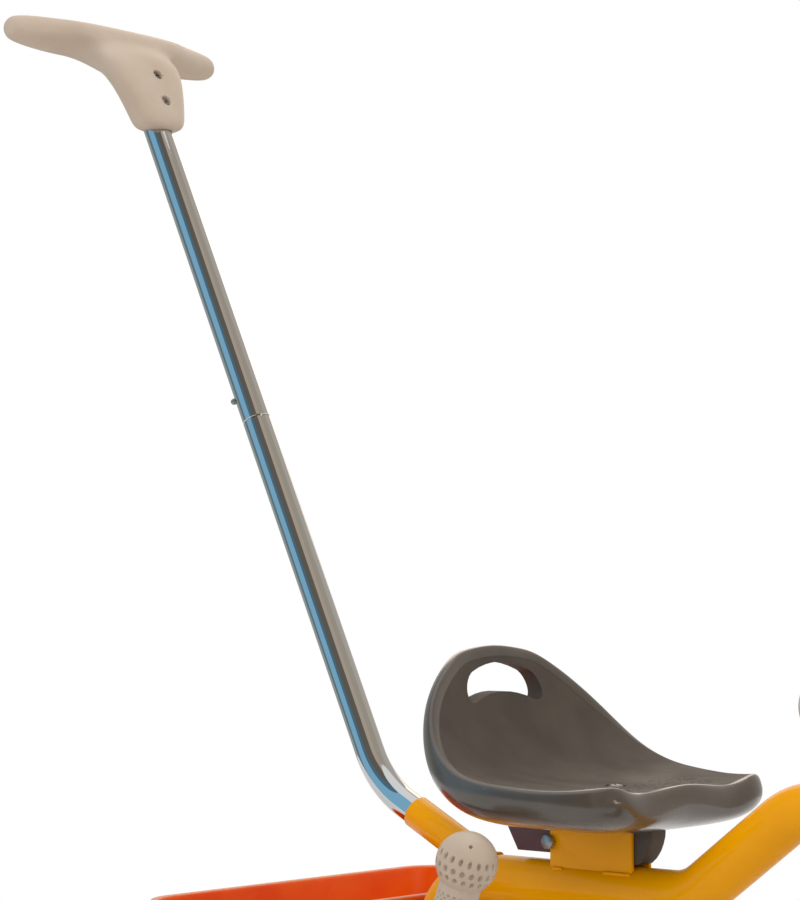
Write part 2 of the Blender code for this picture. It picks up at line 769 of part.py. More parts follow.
def fork_parts():
    side_step = ACROSS * FORK_HALF_WIDTH
    count = 10
    arch = []
    for i in range(count + 1):
        turn = math.pi * i / count
        arch.append(
            on_steering(FORK_ARCH_START + FORK_HALF_WIDTH * math.sin(turn))
            - side_step * math.cos(turn)
        )
    points = [FRONT_AXLE - side_step] + arch + [FRONT_AXLE + side_step]
    fork = bent_bar("fork", points, FORK_TUBE_RADIUS, 3)
    top = FORK_ARCH_START + FORK_HALF_WIDTH
    steerer = rod("steerer", on_steering(top), on_steering(STEERER_LENGTH), STEERER_RADIUS)
    join(fork, steerer)
    for side, sign in LEFT_RIGHT:
        out = ACROSS * sign
        inner, outer = FRONT_AXLE + out * FORK_EYE_INNER, FRONT_AXLE + out * FORK_EYE_OUTER
        join(fork, rod("fork_eye_" + side, inner, outer, FORK_EYE_RADIUS))
    bush_outer = CRANK_RADIUS + RUNNING_FIT + 0.0025
    half = ACROSS * CRANK_ARM_Y
    bore(fork, FRONT_AXLE - half, FRONT_AXLE + half, bush_outer + GAP, 16)
    add(fork, YELLOW_ENAMEL)
    for side, sign in LEFT_RIGHT:
        out = ACROSS * sign
        start = FRONT_AXLE + out * FORK_EYE_INNER
        inner = CRANK_RADIUS + RUNNING_FIT
        length = FORK_EYE_OUTER - FORK_EYE_INNER + GAP
        flange = 0.0025
        profile = [
            (bush_outer + flange, length + flange),
            (bush_outer + flange, length),
            (bush_outer, length),
            (bush_outer, 0),
            (inner, 0),
            (inner, length + flange),
        ]
        add(turned("fork_bush_" + side, start, start + out, profile, 16), MAROON_PLASTIC)
    head_bushes()


def head_bushes():
    tube_bore = HEAD_TUBE_RADIUS - HEAD_TUBE_WALL
    plug = 0.014
    flange = 0.003
    inner = STEERER_RADIUS + RUNNING_FIT
    for name, sign in (("head_bush_upper", 1), ("head_bush_lower", -1)):
        way = STEER_AXIS * sign
        start = HEAD_CENTRE + way * (HEAD_TUBE_LENGTH / 2 - plug)
        profile = [
            (HEAD_TUBE_RADIUS, plug + GAP + flange),
            (HEAD_TUBE_RADIUS + 0.001, plug + GAP),
            (tube_bore - GAP, plug + GAP),
            (tube_bore - GAP, 0),
            (inner, 0),
            (inner, plug + GAP + flange),
        ]
        add(turned(name, start, start + way, profile, 20), MAROON_PLASTIC)


def handlebar_corners(sign):
    """From the middle of the bar to the ball on one side."""
    middle = on_steering(HANDLEBAR_UP)
    out = ACROSS * sign
    ball = middle + xz(-HAND_GRIP_BACK, -HAND_GRIP_DROP) + out * HAND_GRIP_Y
    crest = middle + xz(HANDLEBAR_CREST_FORWARD, HANDLEBAR_CREST_RISE) + out * HANDLEBAR_CREST_Y
    inner = middle + out * HANDLEBAR_FLAT_HALF
    return middle, inner, crest, ball


def handlebar_parts():
    middle, left_inner, left_crest, left_ball = handlebar_corners(1)
    _, right_inner, right_crest, right_ball = handlebar_corners(-1)
    corners = [left_ball, left_crest, left_inner, right_inner, right_crest, right_ball]
    bend = HANDLEBAR_BEND
    points = bent_path(corners, [bend, bend, bend, bend], math.radians(14))
    add(bent_bar("handlebar_tube", points, HANDLEBAR_RADIUS, 3), CHROME)
    for side, ball, crest in (
        ("left", left_ball, left_crest),
        ("right", right_ball, right_crest),
    ):
        ball_grip("handlebar_grip_" + side, ball, crest, HANDLEBAR_RADIUS)
    handlebar_clamp(middle)


def ball_grip(name, ball, towards, bar_radius):
    """A round stem with a ball end that is pushed over a bar's end."""
    bar_hole = bar_radius + GAP
    neck = math.asin(GRIP_RADIUS / GRIP_BALL_RADIUS)
    count = 7
    turns = [neck * i / 2 for i in range(2)]
    turns += [neck + (math.pi - neck) * i / count for i in range(count + 1)]
    turns = [math.pi - turn for turn in sorted(turns, reverse=True) if turn >= neck]
    ball_arc = [(GRIP_BALL_RADIUS * math.sin(t), -GRIP_BALL_RADIUS * math.cos(t)) for t in turns]
    profile = [
        (bar_hole, GRIP_LENGTH),
        (bar_hole, -GAP),
        (0, -GAP),
    ]
    stem = [
        (GRIP_RADIUS + 0.002, GRIP_LENGTH),
        (GRIP_RADIUS + 0.002, GRIP_LENGTH - 0.004),
        (GRIP_RADIUS, GRIP_LENGTH - 0.006),
    ]
    return add(
        turned(name, ball, towards, profile[::-1] + stem + ball_arc[::-1], 20), CREAM_PLASTIC
    )


def handlebar_clamp(middle):
    """A moulded clamp that holds the bar on top of the steerer."""
    low, high = -0.030, 0.019
    half = Vector((0.019, CLAMP_HALF_WIDTH, (high - low) / 2))
    clamp = box("handlebar_clamp", -half, half, 0.006)
    centre = middle + STEER_AXIS * (low + high) / 2
    turn = STEER_AXIS.to_track_quat("Z", "Y").to_matrix().to_4x4()
    clamp.matrix_world = Matrix.Translation(centre) @ turn
    wide = ACROSS * CLAMP_HALF_WIDTH * 1.4
    bore(clamp, middle - wide, middle + wide, HANDLEBAR_RADIUS + GAP)
    seat = on_steering(STEERER_LENGTH + GAP)
    bore(clamp, middle - STEER_AXIS * 0.05, seat, STEERER_RADIUS + GAP)
    front = STEER_AXIS.cross(ACROSS) * -1
    bolt_place = middle + STEER_AXIS * (low + 0.010) + front * 0.0148
    bolt_radius = 0.002
    bore(clamp, bolt_place - wide, bolt_place + wide, bolt_radius + GAP, 12)
    add(clamp, SEAT_PLASTIC)
    reach = CLAMP_HALF_WIDTH + GAP
    head = 0.003
    start = bolt_place - ACROSS * (reach + head)
    end = bolt_place + ACROSS * (reach + 2 * head)
    add(headed_bolt("clamp_bolt", start, end, bolt_radius, 0.004, head), ZINC)
    nut_start = bolt_place + ACROSS * reach
    nut_end = nut_start + ACROSS * head
    add(hex_nut("clamp_nut", nut_start, nut_end, 0.004, bolt_radius + GAP), ZINC)


def rounded_loop(x_low, x_high, half_y, corner, height, count=4):
    """A rectangle with rounded corners at one height."""
    loop = []
    middles = (
        (x_high - corner, half_y - corner),
        (x_low + corner, half_y - corner),
        (x_low + corner, corner - half_y),
        (x_high - corner, corner - half_y),
    )
    for quarter, (x, y) in enumerate(middles):
        for i in range(count + 1):
            turn = math.pi / 2 * (quarter + i / count)
            loop.append((x + corner * math.cos(turn), y + corner * math.sin(turn), height))
    return loop


def bucket_parts():
    """An open tub with sloping walls and a turned-down lip, hinged on a pin under its rear edge."""
    front_lean = (BUCKET_RIM_Z - BUCKET_FLOOR_Z) / math.tan(REAR_RISE_ANGLE)
    foot = 0.010
    width = BUCKET_HALF_WIDTH
    wide = width + BUCKET_LIP
    rear, front = BUCKET_REAR, BUCKET_FRONT
    low_rear, low_front = rear + BUCKET_DRAFT, front - front_lean
    low_width = width - BUCKET_DRAFT
    lip_rear, lip_front = rear - BUCKET_LIP, front + BUCKET_LIP
    corner = BUCKET_CORNER
    floor = BUCKET_FLOOR_Z + BUCKET_WALL
    rim = BUCKET_RIM_Z
    drop = rim - BUCKET_LIP_DROP
    loops = [
        rounded_loop(low_rear + foot, low_front - foot, low_width - foot, corner, floor),
        rounded_loop(low_rear, low_front, low_width, corner, floor + foot),
        rounded_loop(rear, front, width, corner, rim),
        rounded_loop(lip_rear, lip_front, wide, corner + BUCKET_LIP, rim),
        rounded_loop(lip_rear, lip_front, wide, corner + BUCKET_LIP, drop),
    ]
    shape = bmesh.new()
    rings = [[shape.verts.new(point) for point in loop] for loop in loops]
    shape.faces.new(rings[0][::-1])
    for low, high in zip(rings, rings[1:]):
        for i in range(len(low)):
            j = (i + 1) % len(low)
            shape.faces.new((low[i], low[j], high[j], high[i]))
    mesh = bpy.data.meshes.new("bucket")
    shape.to_mesh(mesh)
    shape.free()
    smooth(mesh)
    bucket = bpy.data.objects.new("bucket", mesh)
    walls = bucket.modifiers.new("wall", "SOLIDIFY")
    walls.thickness = BUCKET_WALL
    walls.offset = 1
    walls.use_even_offset = True

    reach = BUCKET_PIN_DROP + BUCKET_WALL / 2
    for side, sign in LEFT_RIGHT:
        low_y, high_y = sorted(
            (sign * BUCKET_EAR_Y, sign * (BUCKET_EAR_Y - BUCKET_EAR_THICKNESS))
        )
        half = BUCKET_PIN_DROP - GAP
        top = BUCKET_PIN.z + reach
        ear_hull = [(BUCKET_PIN.x, BUCKET_PIN.z, half)]
        outline = outline_round(ear_hull)
        ear = plate("bucket_ear_" + side, [outline], low_y, high_y)
        join(bucket, ear)
        block_low = (BUCKET_PIN.x - half, low_y, BUCKET_PIN.z)
        join(bucket, box("bucket_ear_root_" + side, block_low, (BUCKET_PIN.x + half, high_y, top)))
    pin_hole = BUCKET_PIN_RADIUS + RUNNING_FIT
    reach_y = ACROSS * (BUCKET_EAR_Y + BUCKET_EAR_THICKNESS)
    bore(bucket, BUCKET_PIN - reach_y, BUCKET_PIN + reach_y, pin_hole, 16)
    add(bucket, ORANGE_PLASTIC)
    bucket_brackets(low_front - foot)


def bucket_brackets(rest_x):
    """Plates on the axle tube that carry the bucket's hinge pin and the front of its floor."""
    rest = 0.0075
    weld = AXLE_TUBE_RADIUS + 0.005
    eye = BUCKET_PIN_DROP - 0.0012
    hull = [
        (REAR_AXLE.x, REAR_AXLE.z, weld),
        (BUCKET_PIN.x, BUCKET_PIN.z, eye),
        (rest_x - rest, BUCKET_FLOOR_Z - GAP - rest, rest),
    ]
    holes = [
        circle(REAR_AXLE.x, REAR_AXLE.z, AXLE_TUBE_RADIUS + GAP, 20),
        circle(BUCKET_PIN.x, BUCKET_PIN.z, BUCKET_PIN_RADIUS + GAP, 16),
    ]
    inner = BUCKET_EAR_Y + 0.001
    outer = inner + BRACKET_THICKNESS
    for side, sign in LEFT_RIGHT:
        low_y, high_y = sorted((sign * inner, sign * outer))
        bracket = plate("bucket_bracket_" + side, [outline_round(hull), *holes], low_y, high_y)
        add(bracket, YELLOW_ENAMEL)
    head = 0.003
    half = ACROSS * (outer + GAP + head)
    pin = headed_pin(
        "bucket_hinge_pin",
        BUCKET_PIN - half,
        BUCKET_PIN + half,
        BUCKET_PIN_RADIUS,
        BUCKET_PIN_RADIUS + 0.0015,
        head,
        head,
    )
    add(pin, ZINC)


def brake_parts():
    """A lever beside the right wheel, with a shoe that a backward pull brings onto the tyre."""
    out = -ACROSS
    plate_inner = BRAKE_Y + BRAKE_ROD_RADIUS + WASHER_GAP
    plate_outer = plate_inner + BRACKET_THICKNESS
    hull = [
        (REAR_AXLE.x, REAR_AXLE.z, AXLE_TUBE_RADIUS + 0.006),
        (BRAKE_PIVOT.x, BRAKE_PIVOT.z, BRAKE_EYE_RADIUS),
    ]
    holes = [
        circle(REAR_AXLE.x, REAR_AXLE.z, AXLE_TUBE_RADIUS + GAP, 20),
        circle(BRAKE_PIVOT.x, BRAKE_PIVOT.z, BRAKE_BOLT_RADIUS + GAP, 16),
    ]
    bracket = plate("brake_bracket", [outline_round(hull), *holes], plate_inner, plate_outer)
    add(bracket, YELLOW_ENAMEL)

    arm_root = BRAKE_PIVOT + BRAKE_AXIS * BRAKE_ARM_UP
    arm_end = arm_root + out * (REAR_TRACK / 2 + BRAKE_SHOE_WIDTH / 2 + BRAKE_Y + 0.004)
    tip = BRAKE_BALL - BRAKE_AXIS * GAP
    lever = rod("brake_lever", BRAKE_PIVOT, tip, BRAKE_ROD_RADIUS, 16)
    join(lever, rod("brake_arm", arm_root, arm_end, BRAKE_ROD_RADIUS, 16))
    half = ACROSS * BRAKE_ROD_RADIUS
    eye_out, eye_in = BRAKE_PIVOT - half, BRAKE_PIVOT + half
    join(lever, rod("brake_eye", eye_out, eye_in, BRAKE_EYE_RADIUS))
    bore(lever, BRAKE_PIVOT - 3 * half, BRAKE_PIVOT + 3 * half, BRAKE_BOLT_RADIUS + GAP, 16)
    add(lever, ZINC)
    ball_grip("brake_grip", BRAKE_BALL, BRAKE_PIVOT, BRAKE_ROD_RADIUS)
    brake_shoe(arm_root)

    washer_start = xz(BRAKE_PIVOT.x, BRAKE_PIVOT.z, BRAKE_Y + BRAKE_ROD_RADIUS + GAP)
    washer = WASHER_GAP - 2 * GAP
    inner = BRAKE_BOLT_RADIUS + GAP
    ring = [(BRAKE_EYE_RADIUS, washer), (BRAKE_EYE_RADIUS, 0), (inner, 0), (inner, washer)]
    add(turned("brake_washer", washer_start, washer_start + ACROSS, ring, 16), MAROON_PLASTIC)
    head = 0.004
    bolt_start = BRAKE_PIVOT - half - ACROSS * (GAP + head)
    nut_start = xz(BRAKE_PIVOT.x, BRAKE_PIVOT.z, plate_outer + GAP)
    nut_end = nut_start + ACROSS * head
    bolt_end = nut_end + ACROSS * 0.002
    bolt = headed_bolt("brake_pivot_bolt", bolt_start, bolt_end, BRAKE_BOLT_RADIUS, 0.0055, head)
    add(bolt, ZINC)
    add(hex_nut("brake_pivot_nut", nut_start, nut_end, 0.0055, inner), ZINC)


def brake_shoe(arm_root):
    """A block on the lever's arm whose face is curved like the tyre."""
    face = REAR_WHEEL_RADIUS + BRAKE_SHOE_GAP
    reach = math.hypot(arm_root.x, arm_root.z - REAR_AXLE.z)
    aim = math.atan2(arm_root.z - REAR_AXLE.z, arm_root.x)
    spread = math.radians(9)
    back = reach + BRAKE_ROD_RADIUS + 0.004
    turns = [aim - spread + spread * i / 3 for i in range(7)]
    outline = [
        (face * math.cos(turn), REAR_AXLE.z + face * math.sin(turn)) for turn in turns[::-1]
    ]
    outline += [
        (back * math.cos(turn), REAR_AXLE.z + back * math.sin(turn))
        for turn in (turns[1], turns[3], turns[5])
    ]
    hole = circle(arm_root.x, arm_root.z, BRAKE_ROD_RADIUS + GAP, 16)
    centre = -REAR_TRACK / 2
    half = BRAKE_SHOE_WIDTH / 2
    shoe = plate("brake_shoe", [outline, hole], centre - half, centre + half)
    add(shoe, SEAT_PLASTIC)


def push_handle_parts():
    inner_end = SOCKET_MOUTH + SOCKET_AXIS * PUSH_TUBE_DEPTH
    corners = [inner_end, PUSH_CORNER, PUSH_JOINT]
    points = bent_path(corners, [PUSH_BEND], math.radians(6))
    lower = bent_bar("push_tube_lower", points, PUSH_TUBE_RADIUS)
    spigot_end = PUSH_JOINT + PUSH_AXIS * SPIGOT_LENGTH
    spigot = rod("spigot", PUSH_JOINT - PUSH_AXIS * SPIGOT_RADIUS, spigot_end, SPIGOT_RADIUS)
    join(lower, spigot)
    spigot_bore = SPIGOT_RADIUS - PUSH_TUBE_WALL
    inside_path = stretched([*points[:-1], spigot_end], PUSH_TUBE_RADIUS)
    cut(lower, bent_bar("lower_inside", inside_path, spigot_bore, 2))
    button_base = PUSH_JOINT + PUSH_AXIS * SNAP_BUTTON_HEIGHT
    button_out = button_base + SNAP_WAY * PUSH_TUBE_RADIUS * 2
    button_hole = SNAP_BUTTON_RADIUS + GAP
    bore(lower, button_base, button_out, button_hole, 14)
    add(lower, CHROME)

    joint = PUSH_JOINT + PUSH_AXIS * GAP
    upper = rod("push_tube_upper", joint, UPPER_TUBE_TOP, PUSH_TUBE_RADIUS)
    spare = PUSH_AXIS * PUSH_TUBE_RADIUS
    bore(upper, joint - spare, UPPER_TUBE_TOP + spare, PUSH_BORE)
    bore(upper, button_base, button_out, button_hole, 14)
    add(upper, CHROME)
    snap_parts(button_base, spigot_bore)
    push_grip()


def snap_parts(button_base, spigot_bore):
    """A sprung button that locks the two tubes, on a bent strip inside the spigot."""
    outer = PUSH_TUBE_RADIUS + SNAP_BUTTON_PROUD
    strip = 0.0006
    flange = spigot_bore - 0.0035
    radius = SNAP_BUTTON_RADIUS
    length = outer - flange
    profile = [
        (0, length),
        (radius * 0.7, length - 0.0006),
        (radius, length - 0.002),
        (radius, 0.0012),
        (radius + 0.0008, 0.0012),
        (radius + 0.0008, 0),
        (0, 0),
    ]
    start = button_base + SNAP_WAY * flange
    add(turned("snap_button", start, start + SNAP_WAY, profile, 16), ZINC)
    width = 0.003
    low = flange - GAP
    path = [
        (-0.004, low),
        (-0.004, low - strip),
        (0.026, low - strip - 0.001),
        (0.027, 0.0018),
        (0.006, -0.0008),
        (0.006, -0.0014),
        (0.0285, 0.001),
        (0.0278, low - 0.0008),
    ]
    spring = plate("snap_spring", [path[::-1]], -width, width)
    side = SNAP_WAY.cross(PUSH_AXIS)
    turn = Matrix((PUSH_AXIS, side, SNAP_WAY)).transposed().to_4x4()
    spring.matrix_world = Matrix.Translation(button_base) @ turn @ spring.matrix_world
    add(spring, ZINC)


def cage(name, rings, caps):
    """A closed cage of quads through rings of corner points, with a quad over each end."""
    shape = bmesh.new()
    made = [[shape.verts.new(point) for point in ring] for ring in rings]
    for low, high in zip(made, made[1:]):
        for i in range(len(low)):
            j = (i + 1) % len(low)
            shape.faces.new((low[i], low[j], high[j], high[i]))
    if caps:
        shape.faces.new(made[0][::-1])
        shape.faces.new(made[-1])
    return shape


def face_outwards(shape):
    bmesh.ops.recalc_face_normals(shape, faces=shape.faces)
    if shape.calc_volume(signed=True) < 0:
        bmesh.ops.reverse_faces(shape, faces=shape.faces)


def grip_section(sign, station):
    """Four cage corners round the grip's bar at one place along it."""
    back_y, front_y, back, front, front_height = station
    half = GRIP_BAR_HALF * sign
    bar = GRIP_BAR_RADIUS
    return [
        (front * bar, front_y * half, front_height * bar),
        (-back * bar, back_y * half, back * bar),
        (-back * bar, back_y * half, -back * bar),
        (front * bar, front_y * half, -back * bar),
    ]


def push_grip():
    """A moulded T-shaped grip: a tapering bar across a stem, blended by subdivision."""
    # Place along the bar behind and in front, reach behind and in front, height in front
    stations = (
        (1.00, 1.00, 0.45, 0.45, 0.45),
        (0.95, 0.95, 0.72, 0.72, 0.72),
        (0.74, 0.75, 0.90, 0.95, 0.88),
        (0.48, 0.58, 1.00, 1.20, 0.72),
        (0.31, 0.45, 1.00, 1.85, 0.36),
    )
    rings = [grip_section(-1, station) for station in stations]
    rings += [grip_section(1, station) for station in reversed(stations)]
    shape = cage("push_grip", rings, True)
    under = [
        face
        for face in shape.faces
        if abs(face.calc_center_median().y) < 0.001
        and face.calc_center_median().z < -GRIP_BAR_RADIUS / 2
    ]
    # Height, then reach forward and back, half width in front and behind, and rise behind,
    # as shares of the stem's radius
    steps = (
        (-1.40, 1.84, -0.16, 2.70, 1.40, 0.00),
        (-2.56, 1.88, 0.05, 2.42, 1.00, 0.00),
        (-4.00, 1.85, 0.09, 1.71, 1.00, 0.19),
        (-4.98, 1.74, 0.14, 1.26, 1.00, 0.92),
    )
    stem = GRIP_STEM_RADIUS
    face = under[0]
    for height, front, back, front_y, back_y, back_rise in steps:
        extruded = bmesh.ops.extrude_discrete_faces(shape, faces=[face])
        face = extruded["faces"][0]
        middle = face.calc_center_median()
        for vert in face.verts:
            y_side = 1 if vert.co.y > 0 else -1
            if vert.co.x > middle.x:
                place = (front, y_side * front_y, height)
            else:
                place = (back, y_side * back_y, height + back_rise)
            vert.co = Vector(place) * stem
    mesh = bpy.data.meshes.new("push_grip")
    face_outwards(shape)
    shape.to_mesh(mesh)
    shape.free()
    mesh.shade_smooth()
    grip = bpy.data.objects.new("push_grip", mesh)
    turn = Matrix((PUSH_FRONT, ACROSS, PUSH_AXIS)).transposed().to_4x4()
    grip.matrix_world = Matrix.Translation(GRIP_CENTRE) @ turn
    soft = grip.modifiers.new("soft form", "SUBSURF")
    soft.levels = 2
    soft.render_levels = 2
    low = UPPER_TUBE_TOP - PUSH_AXIS * GRIP_STEM_LENGTH * 1.5
    bore(grip, low, UPPER_TUBE_TOP + PUSH_AXIS * GAP, PUSH_TUBE_RADIUS + GAP)
    grip_screws(grip)
    add(grip, CREAM_PLASTIC)


def grip_screws(grip):
    """Two recessed screws in the front of the grip's stem."""
    recess = 0.0045
    head = 0.0036
    shank = 0.0015
    inner = PUSH_TUBE_RADIUS + GAP
    wall = 0.0045
    for name, height in (("grip_screw_upper", -0.051), ("grip_screw_lower", -0.0765)):
        axis = GRIP_CENTRE + PUSH_AXIS * height + PUSH_FRONT * GRIP_SETBACK
        start = axis + PUSH_FRONT * (inner - 0.002)
        seat = wall + 0.002
        counterbore = [
            (0, 0.02),
            (recess, 0.02),
            (recess, seat),
            (shank + GAP, seat),
            (shank + GAP, 0),
            (0, 0),
        ]
        cut(grip, turned(name + "_bore", start, start + PUSH_FRONT, counterbore, 14))
        start = axis + PUSH_FRONT * (inner + GAP)
        length = wall + 0.0025
        profile = [
            (0, length),
            (head * 0.6, length - 0.0002),
            (head, length - 0.0012),
            (head, wall),
            (shank, wall),
            (shank, 0),
            (0, 0),
        ]
        add(turned(name, start, start + PUSH_FRONT, profile, 14), ZINC)


def seat_rows():
    """The seat's top as rows of points across it, from the back's top edge to the front edge."""
    across = (-1.0, -0.66, 0.0, 0.66, 1.0)
    rows = []
    for rim, centre in list(zip(SEAT_RIM, SEAT_CENTRE))[1:-1]:
        edge = Vector(rim)
        middle = xz(*centre)
        row = []
        for share in across:
            blend = abs(share) ** 3
            place = middle.lerp(edge, blend)
            place.y = edge.y * share
            row.append(place)
        rows.append(row)
    rows[0][2].z = SEAT_RIM[0][2]
    rows[-1][2].x = SEAT_RIM[-1][0]
    for column in (1, 3):
        rows[0][column].z = SEAT_BACK_SHOULDER
        for row, dip in zip(rows[-3:], SEAT_THIGH_DIPS):
            row[column].z -= dip
    return rows


def seat_shell():
    """A thick moulded shell: the pan and back as one sheet, with a deep rounded edge."""
    rows = seat_rows()
    columns = len(rows[0])
    shape = bmesh.new()
    top = [[shape.verts.new(point) for point in row] for row in rows]
    for row, below in zip(top, top[1:]):
        for j in range(columns - 1):
            shape.faces.new((row[j], below[j], below[j + 1], row[j + 1]))
    shape.normal_update()
    depths = SEAT_DEPTH[1:-1]
    bottom = []
    for i, row in enumerate(top):
        under = []
        for j, vert in enumerate(row):
            place = vert.co - vert.normal * depths[i]
            place.y *= 0.93
            under.append(shape.verts.new(place))
        bottom.append(under)
    for row, below in zip(bottom, bottom[1:]):
        for j in range(columns - 1):
            shape.faces.new((row[j], row[j + 1], below[j + 1], below[j]))
    edge_top, edge_low, out = seat_edge(top, bottom)
    rim = []
    for above, below, way in zip(edge_top, edge_low, out):
        rim.append(shape.verts.new(above.co.lerp(below.co, 0.42) + way * SEAT_EDGE_BULGE))
    count = len(edge_top)
    for i in range(count):
        j = (i + 1) % count
        shape.faces.new((edge_top[i], edge_top[j], rim[j], rim[i]))
        shape.faces.new((rim[i], rim[j], edge_low[j], edge_low[i]))
    bmesh.ops.recalc_face_normals(shape, faces=shape.faces)
    mesh = bpy.data.meshes.new("seat_shell")
    shape.to_mesh(mesh)
    shape.free()
    mesh.shade_smooth()
    seat = bpy.data.objects.new("seat_shell", mesh)
    soft = seat.modifiers.new("soft form", "SUBSURF")
    soft.levels = 2
    soft.render_levels = 2
    grab_hole(seat)
    return seat


def seat_edge(top, bottom):
    """The loops of edge points round the seat's top and bottom, and the way out from each."""
    last = len(top) - 1
    columns = len(top[0])
    order = [(0, j) for j in range(columns)]
    order += [(i, columns - 1) for i in range(1, last + 1)]
    order += [(last, j) for j in range(columns - 2, -1, -1)]
    order += [(i, 0) for i in range(last - 1, 0, -1)]
    edge_top = [top[i][j] for i, j in order]
    edge_low = [bottom[i][j] for i, j in order]
    count = len(order)
    out = []
    for k in range(count):
        run = edge_top[(k + 1) % count].co - edge_top[k - 1].co
        thick = edge_top[k].co - edge_low[k].co
        out.append(thick.cross(run).normalized())
    middle = sum((vert.co for vert in edge_top), Vector()) / count
    if sum(way.dot(vert.co - middle) for way, vert in zip(out, edge_top)) < 0:
        out = [-way for way in out]
    return edge_top, edge_low, out


def grab_hole(seat):
    """A long hole with round ends through the seat's back, for carrying."""
    half, tall = GRAB_HOLE_HALF_WIDTH, GRAB_HOLE_HALF_HEIGHT
    straight = half - tall
    loop = []
    for sign in (1, -1):
        for i in range(7):
            turn = math.pi * i / 6 - math.pi / 2
            y = sign * (straight + tall * math.cos(turn))
            loop.append((y, sign * tall * math.sin(turn)))
        for share in (0.5, 0, -0.5):
            loop.append((sign * straight * share, sign * tall))
    loop = [(GRAB_HOLE_Z + z - GRAB_HOLE_SAG * (y / half) ** 2, y) for y, z in loop]
    curve = plate("grab_hole", [loop], -0.04, 0.04)
    turn = Matrix(((0, 1, 0), (0, 0, 1), (1, 0, 0))).to_4x4()
    curve.matrix_world = Matrix.Translation((SEAT_RIM[0][0], 0, 0)) @ turn @ curve.matrix_world
    cut(seat, curve)


def seat_parts():
    seat = seat_shell()
    screw = xz(SEAT_SCREW_X, SEAT_CENTRE[6][1])
    recess_floor = screw - UP * 0.004
    bore(seat, recess_floor, screw + UP * 0.02, 0.0075, 18)
    bore(seat, screw - UP * 0.06, screw, 0.003 + GAP, 12)
    rail_space = SEAT_RAIL_WIDTH / 2 + SEAT_PLATE_THICKNESS + 0.003
    low = (SEAT_RAIL_REAR - 0.010, -rail_space, 0.290)
    high = (SEAT_TONGUE_FRONT + SEAT_TRAVEL + 0.004, rail_space, SEAT_RAIL_TOP + GAP)
    cut(seat, box("rail_space", low, high))
    add(seat, SEAT_PLASTIC)

    rail_outline = [
        (SEAT_RAIL_FRONT, SEAT_RAIL_BOTTOM),
        (SEAT_RAIL_FRONT, SEAT_RAIL_TOP),
        (SEAT_RAIL_REAR, SEAT_RAIL_TOP),
        (SEAT_RAIL_REAR + SEAT_RAIL_CHAMFER, SEAT_RAIL_BOTTOM),
    ]
    slot_radius = SEAT_BOLT_RADIUS + RUNNING_FIT
    slot = outline_round(
        [
            (SEAT_PLATE_REAR, SEAT_CLAMP_Z, slot_radius),
            (SEAT_PLATE_REAR + SEAT_TRAVEL, SEAT_CLAMP_Z, slot_radius),
        ],
        16,
    )
    half = SEAT_RAIL_WIDTH / 2
    rail = plate("seat_rail", [rail_outline, slot], -half, half)
    screw_hole = 0.0025 + GAP
    top = xz(SEAT_SCREW_X, SEAT_RAIL_TOP + 0.01)
    bore(rail, xz(SEAT_SCREW_X, SEAT_RAIL_BOTTOM + 0.004), top, screw_hole, 12)
    add(rail, MAROON_PLASTIC)
    tongue_rear = SEAT_RAIL_FRONT + GAP
    tongue_outline = [
        (tongue_rear, SEAT_RAIL_BOTTOM),
        (SEAT_TONGUE_FRONT - SEAT_TONGUE_RAKE, SEAT_RAIL_BOTTOM),
        (SEAT_TONGUE_FRONT - SEAT_TONGUE_RAKE * 0.2, SEAT_RAIL_BOTTOM + 0.0095),
        (SEAT_TONGUE_FRONT, SEAT_RAIL_TOP),
        (tongue_rear, SEAT_RAIL_TOP),
    ]
    add(plate("seat_tongue", [tongue_outline[::-1]], -half, half), SEAT_PLASTIC)
    tip = xz(SEAT_SCREW_X, SEAT_RAIL_BOTTOM + 0.005)
    screw_top = recess_floor + UP * 0.003
    length = screw_top.z - tip.z
    profile = [
        (0, length),
        (0.004, length - 0.0003),
        (0.0055, length - 0.0015),
        (0.0055, length - 0.003 + GAP),
        (0.0025, length - 0.003 + GAP),
        (0.0025, 0),
        (0, 0),
    ]
    add(turned("seat_screw", tip, screw_top, profile, 16), ZINC)


def centre_over_origin():
    """Move everything so that the tricycle's length is centred over the origin."""
    bpy.context.view_layer.update()
    graph = bpy.context.evaluated_depsgraph_get()
    ends = []
    for obj in PARTS.objects:
        if obj.type != "MESH":
            continue
        evaluated = obj.evaluated_get(graph)
        mesh = evaluated.to_mesh()
        reach = [(evaluated.matrix_world @ vert.co).x for vert in mesh.vertices]
        ends += [min(reach), max(reach)]
        evaluated.to_mesh_clear()
    shift = -(min(ends) + max(ends)) / 2
    CENTRE.location.x = shift
    bpy.context.view_layer.update()
    return shift


frame_parts()
seat_fastening()
rear_axle_parts()
rear_wheels()
front_wheel()
crank_and_pedals()
fork_parts()
handlebar_parts()
bucket_parts()
brake_parts()
push_handle_parts()
seat_parts()
SHIFT = centre_over_origin()
print("moved along X by", round(SHIFT, 6))
print("snap button presses along", [round(-value, 6) for value in SNAP_WAY])
print("snap button travel", round(SNAP_TRAVEL, 6))
for label, place in (
    ("front axle", FRONT_AXLE),
    ("rear axle", REAR_AXLE),
    ("head centre", HEAD_CENTRE),
    ("bucket pin", BUCKET_PIN),
    ("brake pivot", BRAKE_PIVOT),
    ("left pedal", FRONT_AXLE + crank_offset(1)),
    ("right pedal", FRONT_AXLE + crank_offset(-1)),
):
    print(label, [round(value, 6) for value in place + Vector((SHIFT, 0, 0))])
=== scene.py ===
# %% [markdown]
# # A child's tricycle
# The photo shows a tricycle in yellow-orange enamel with a chromed push handle, a dark moulded
# seat, an orange tipping bucket and cream grips. The measured frame brings every part in its real
# place. This lesson gives each part its finish, and builds finer shapes where a close look needs
# them.

import json
import math

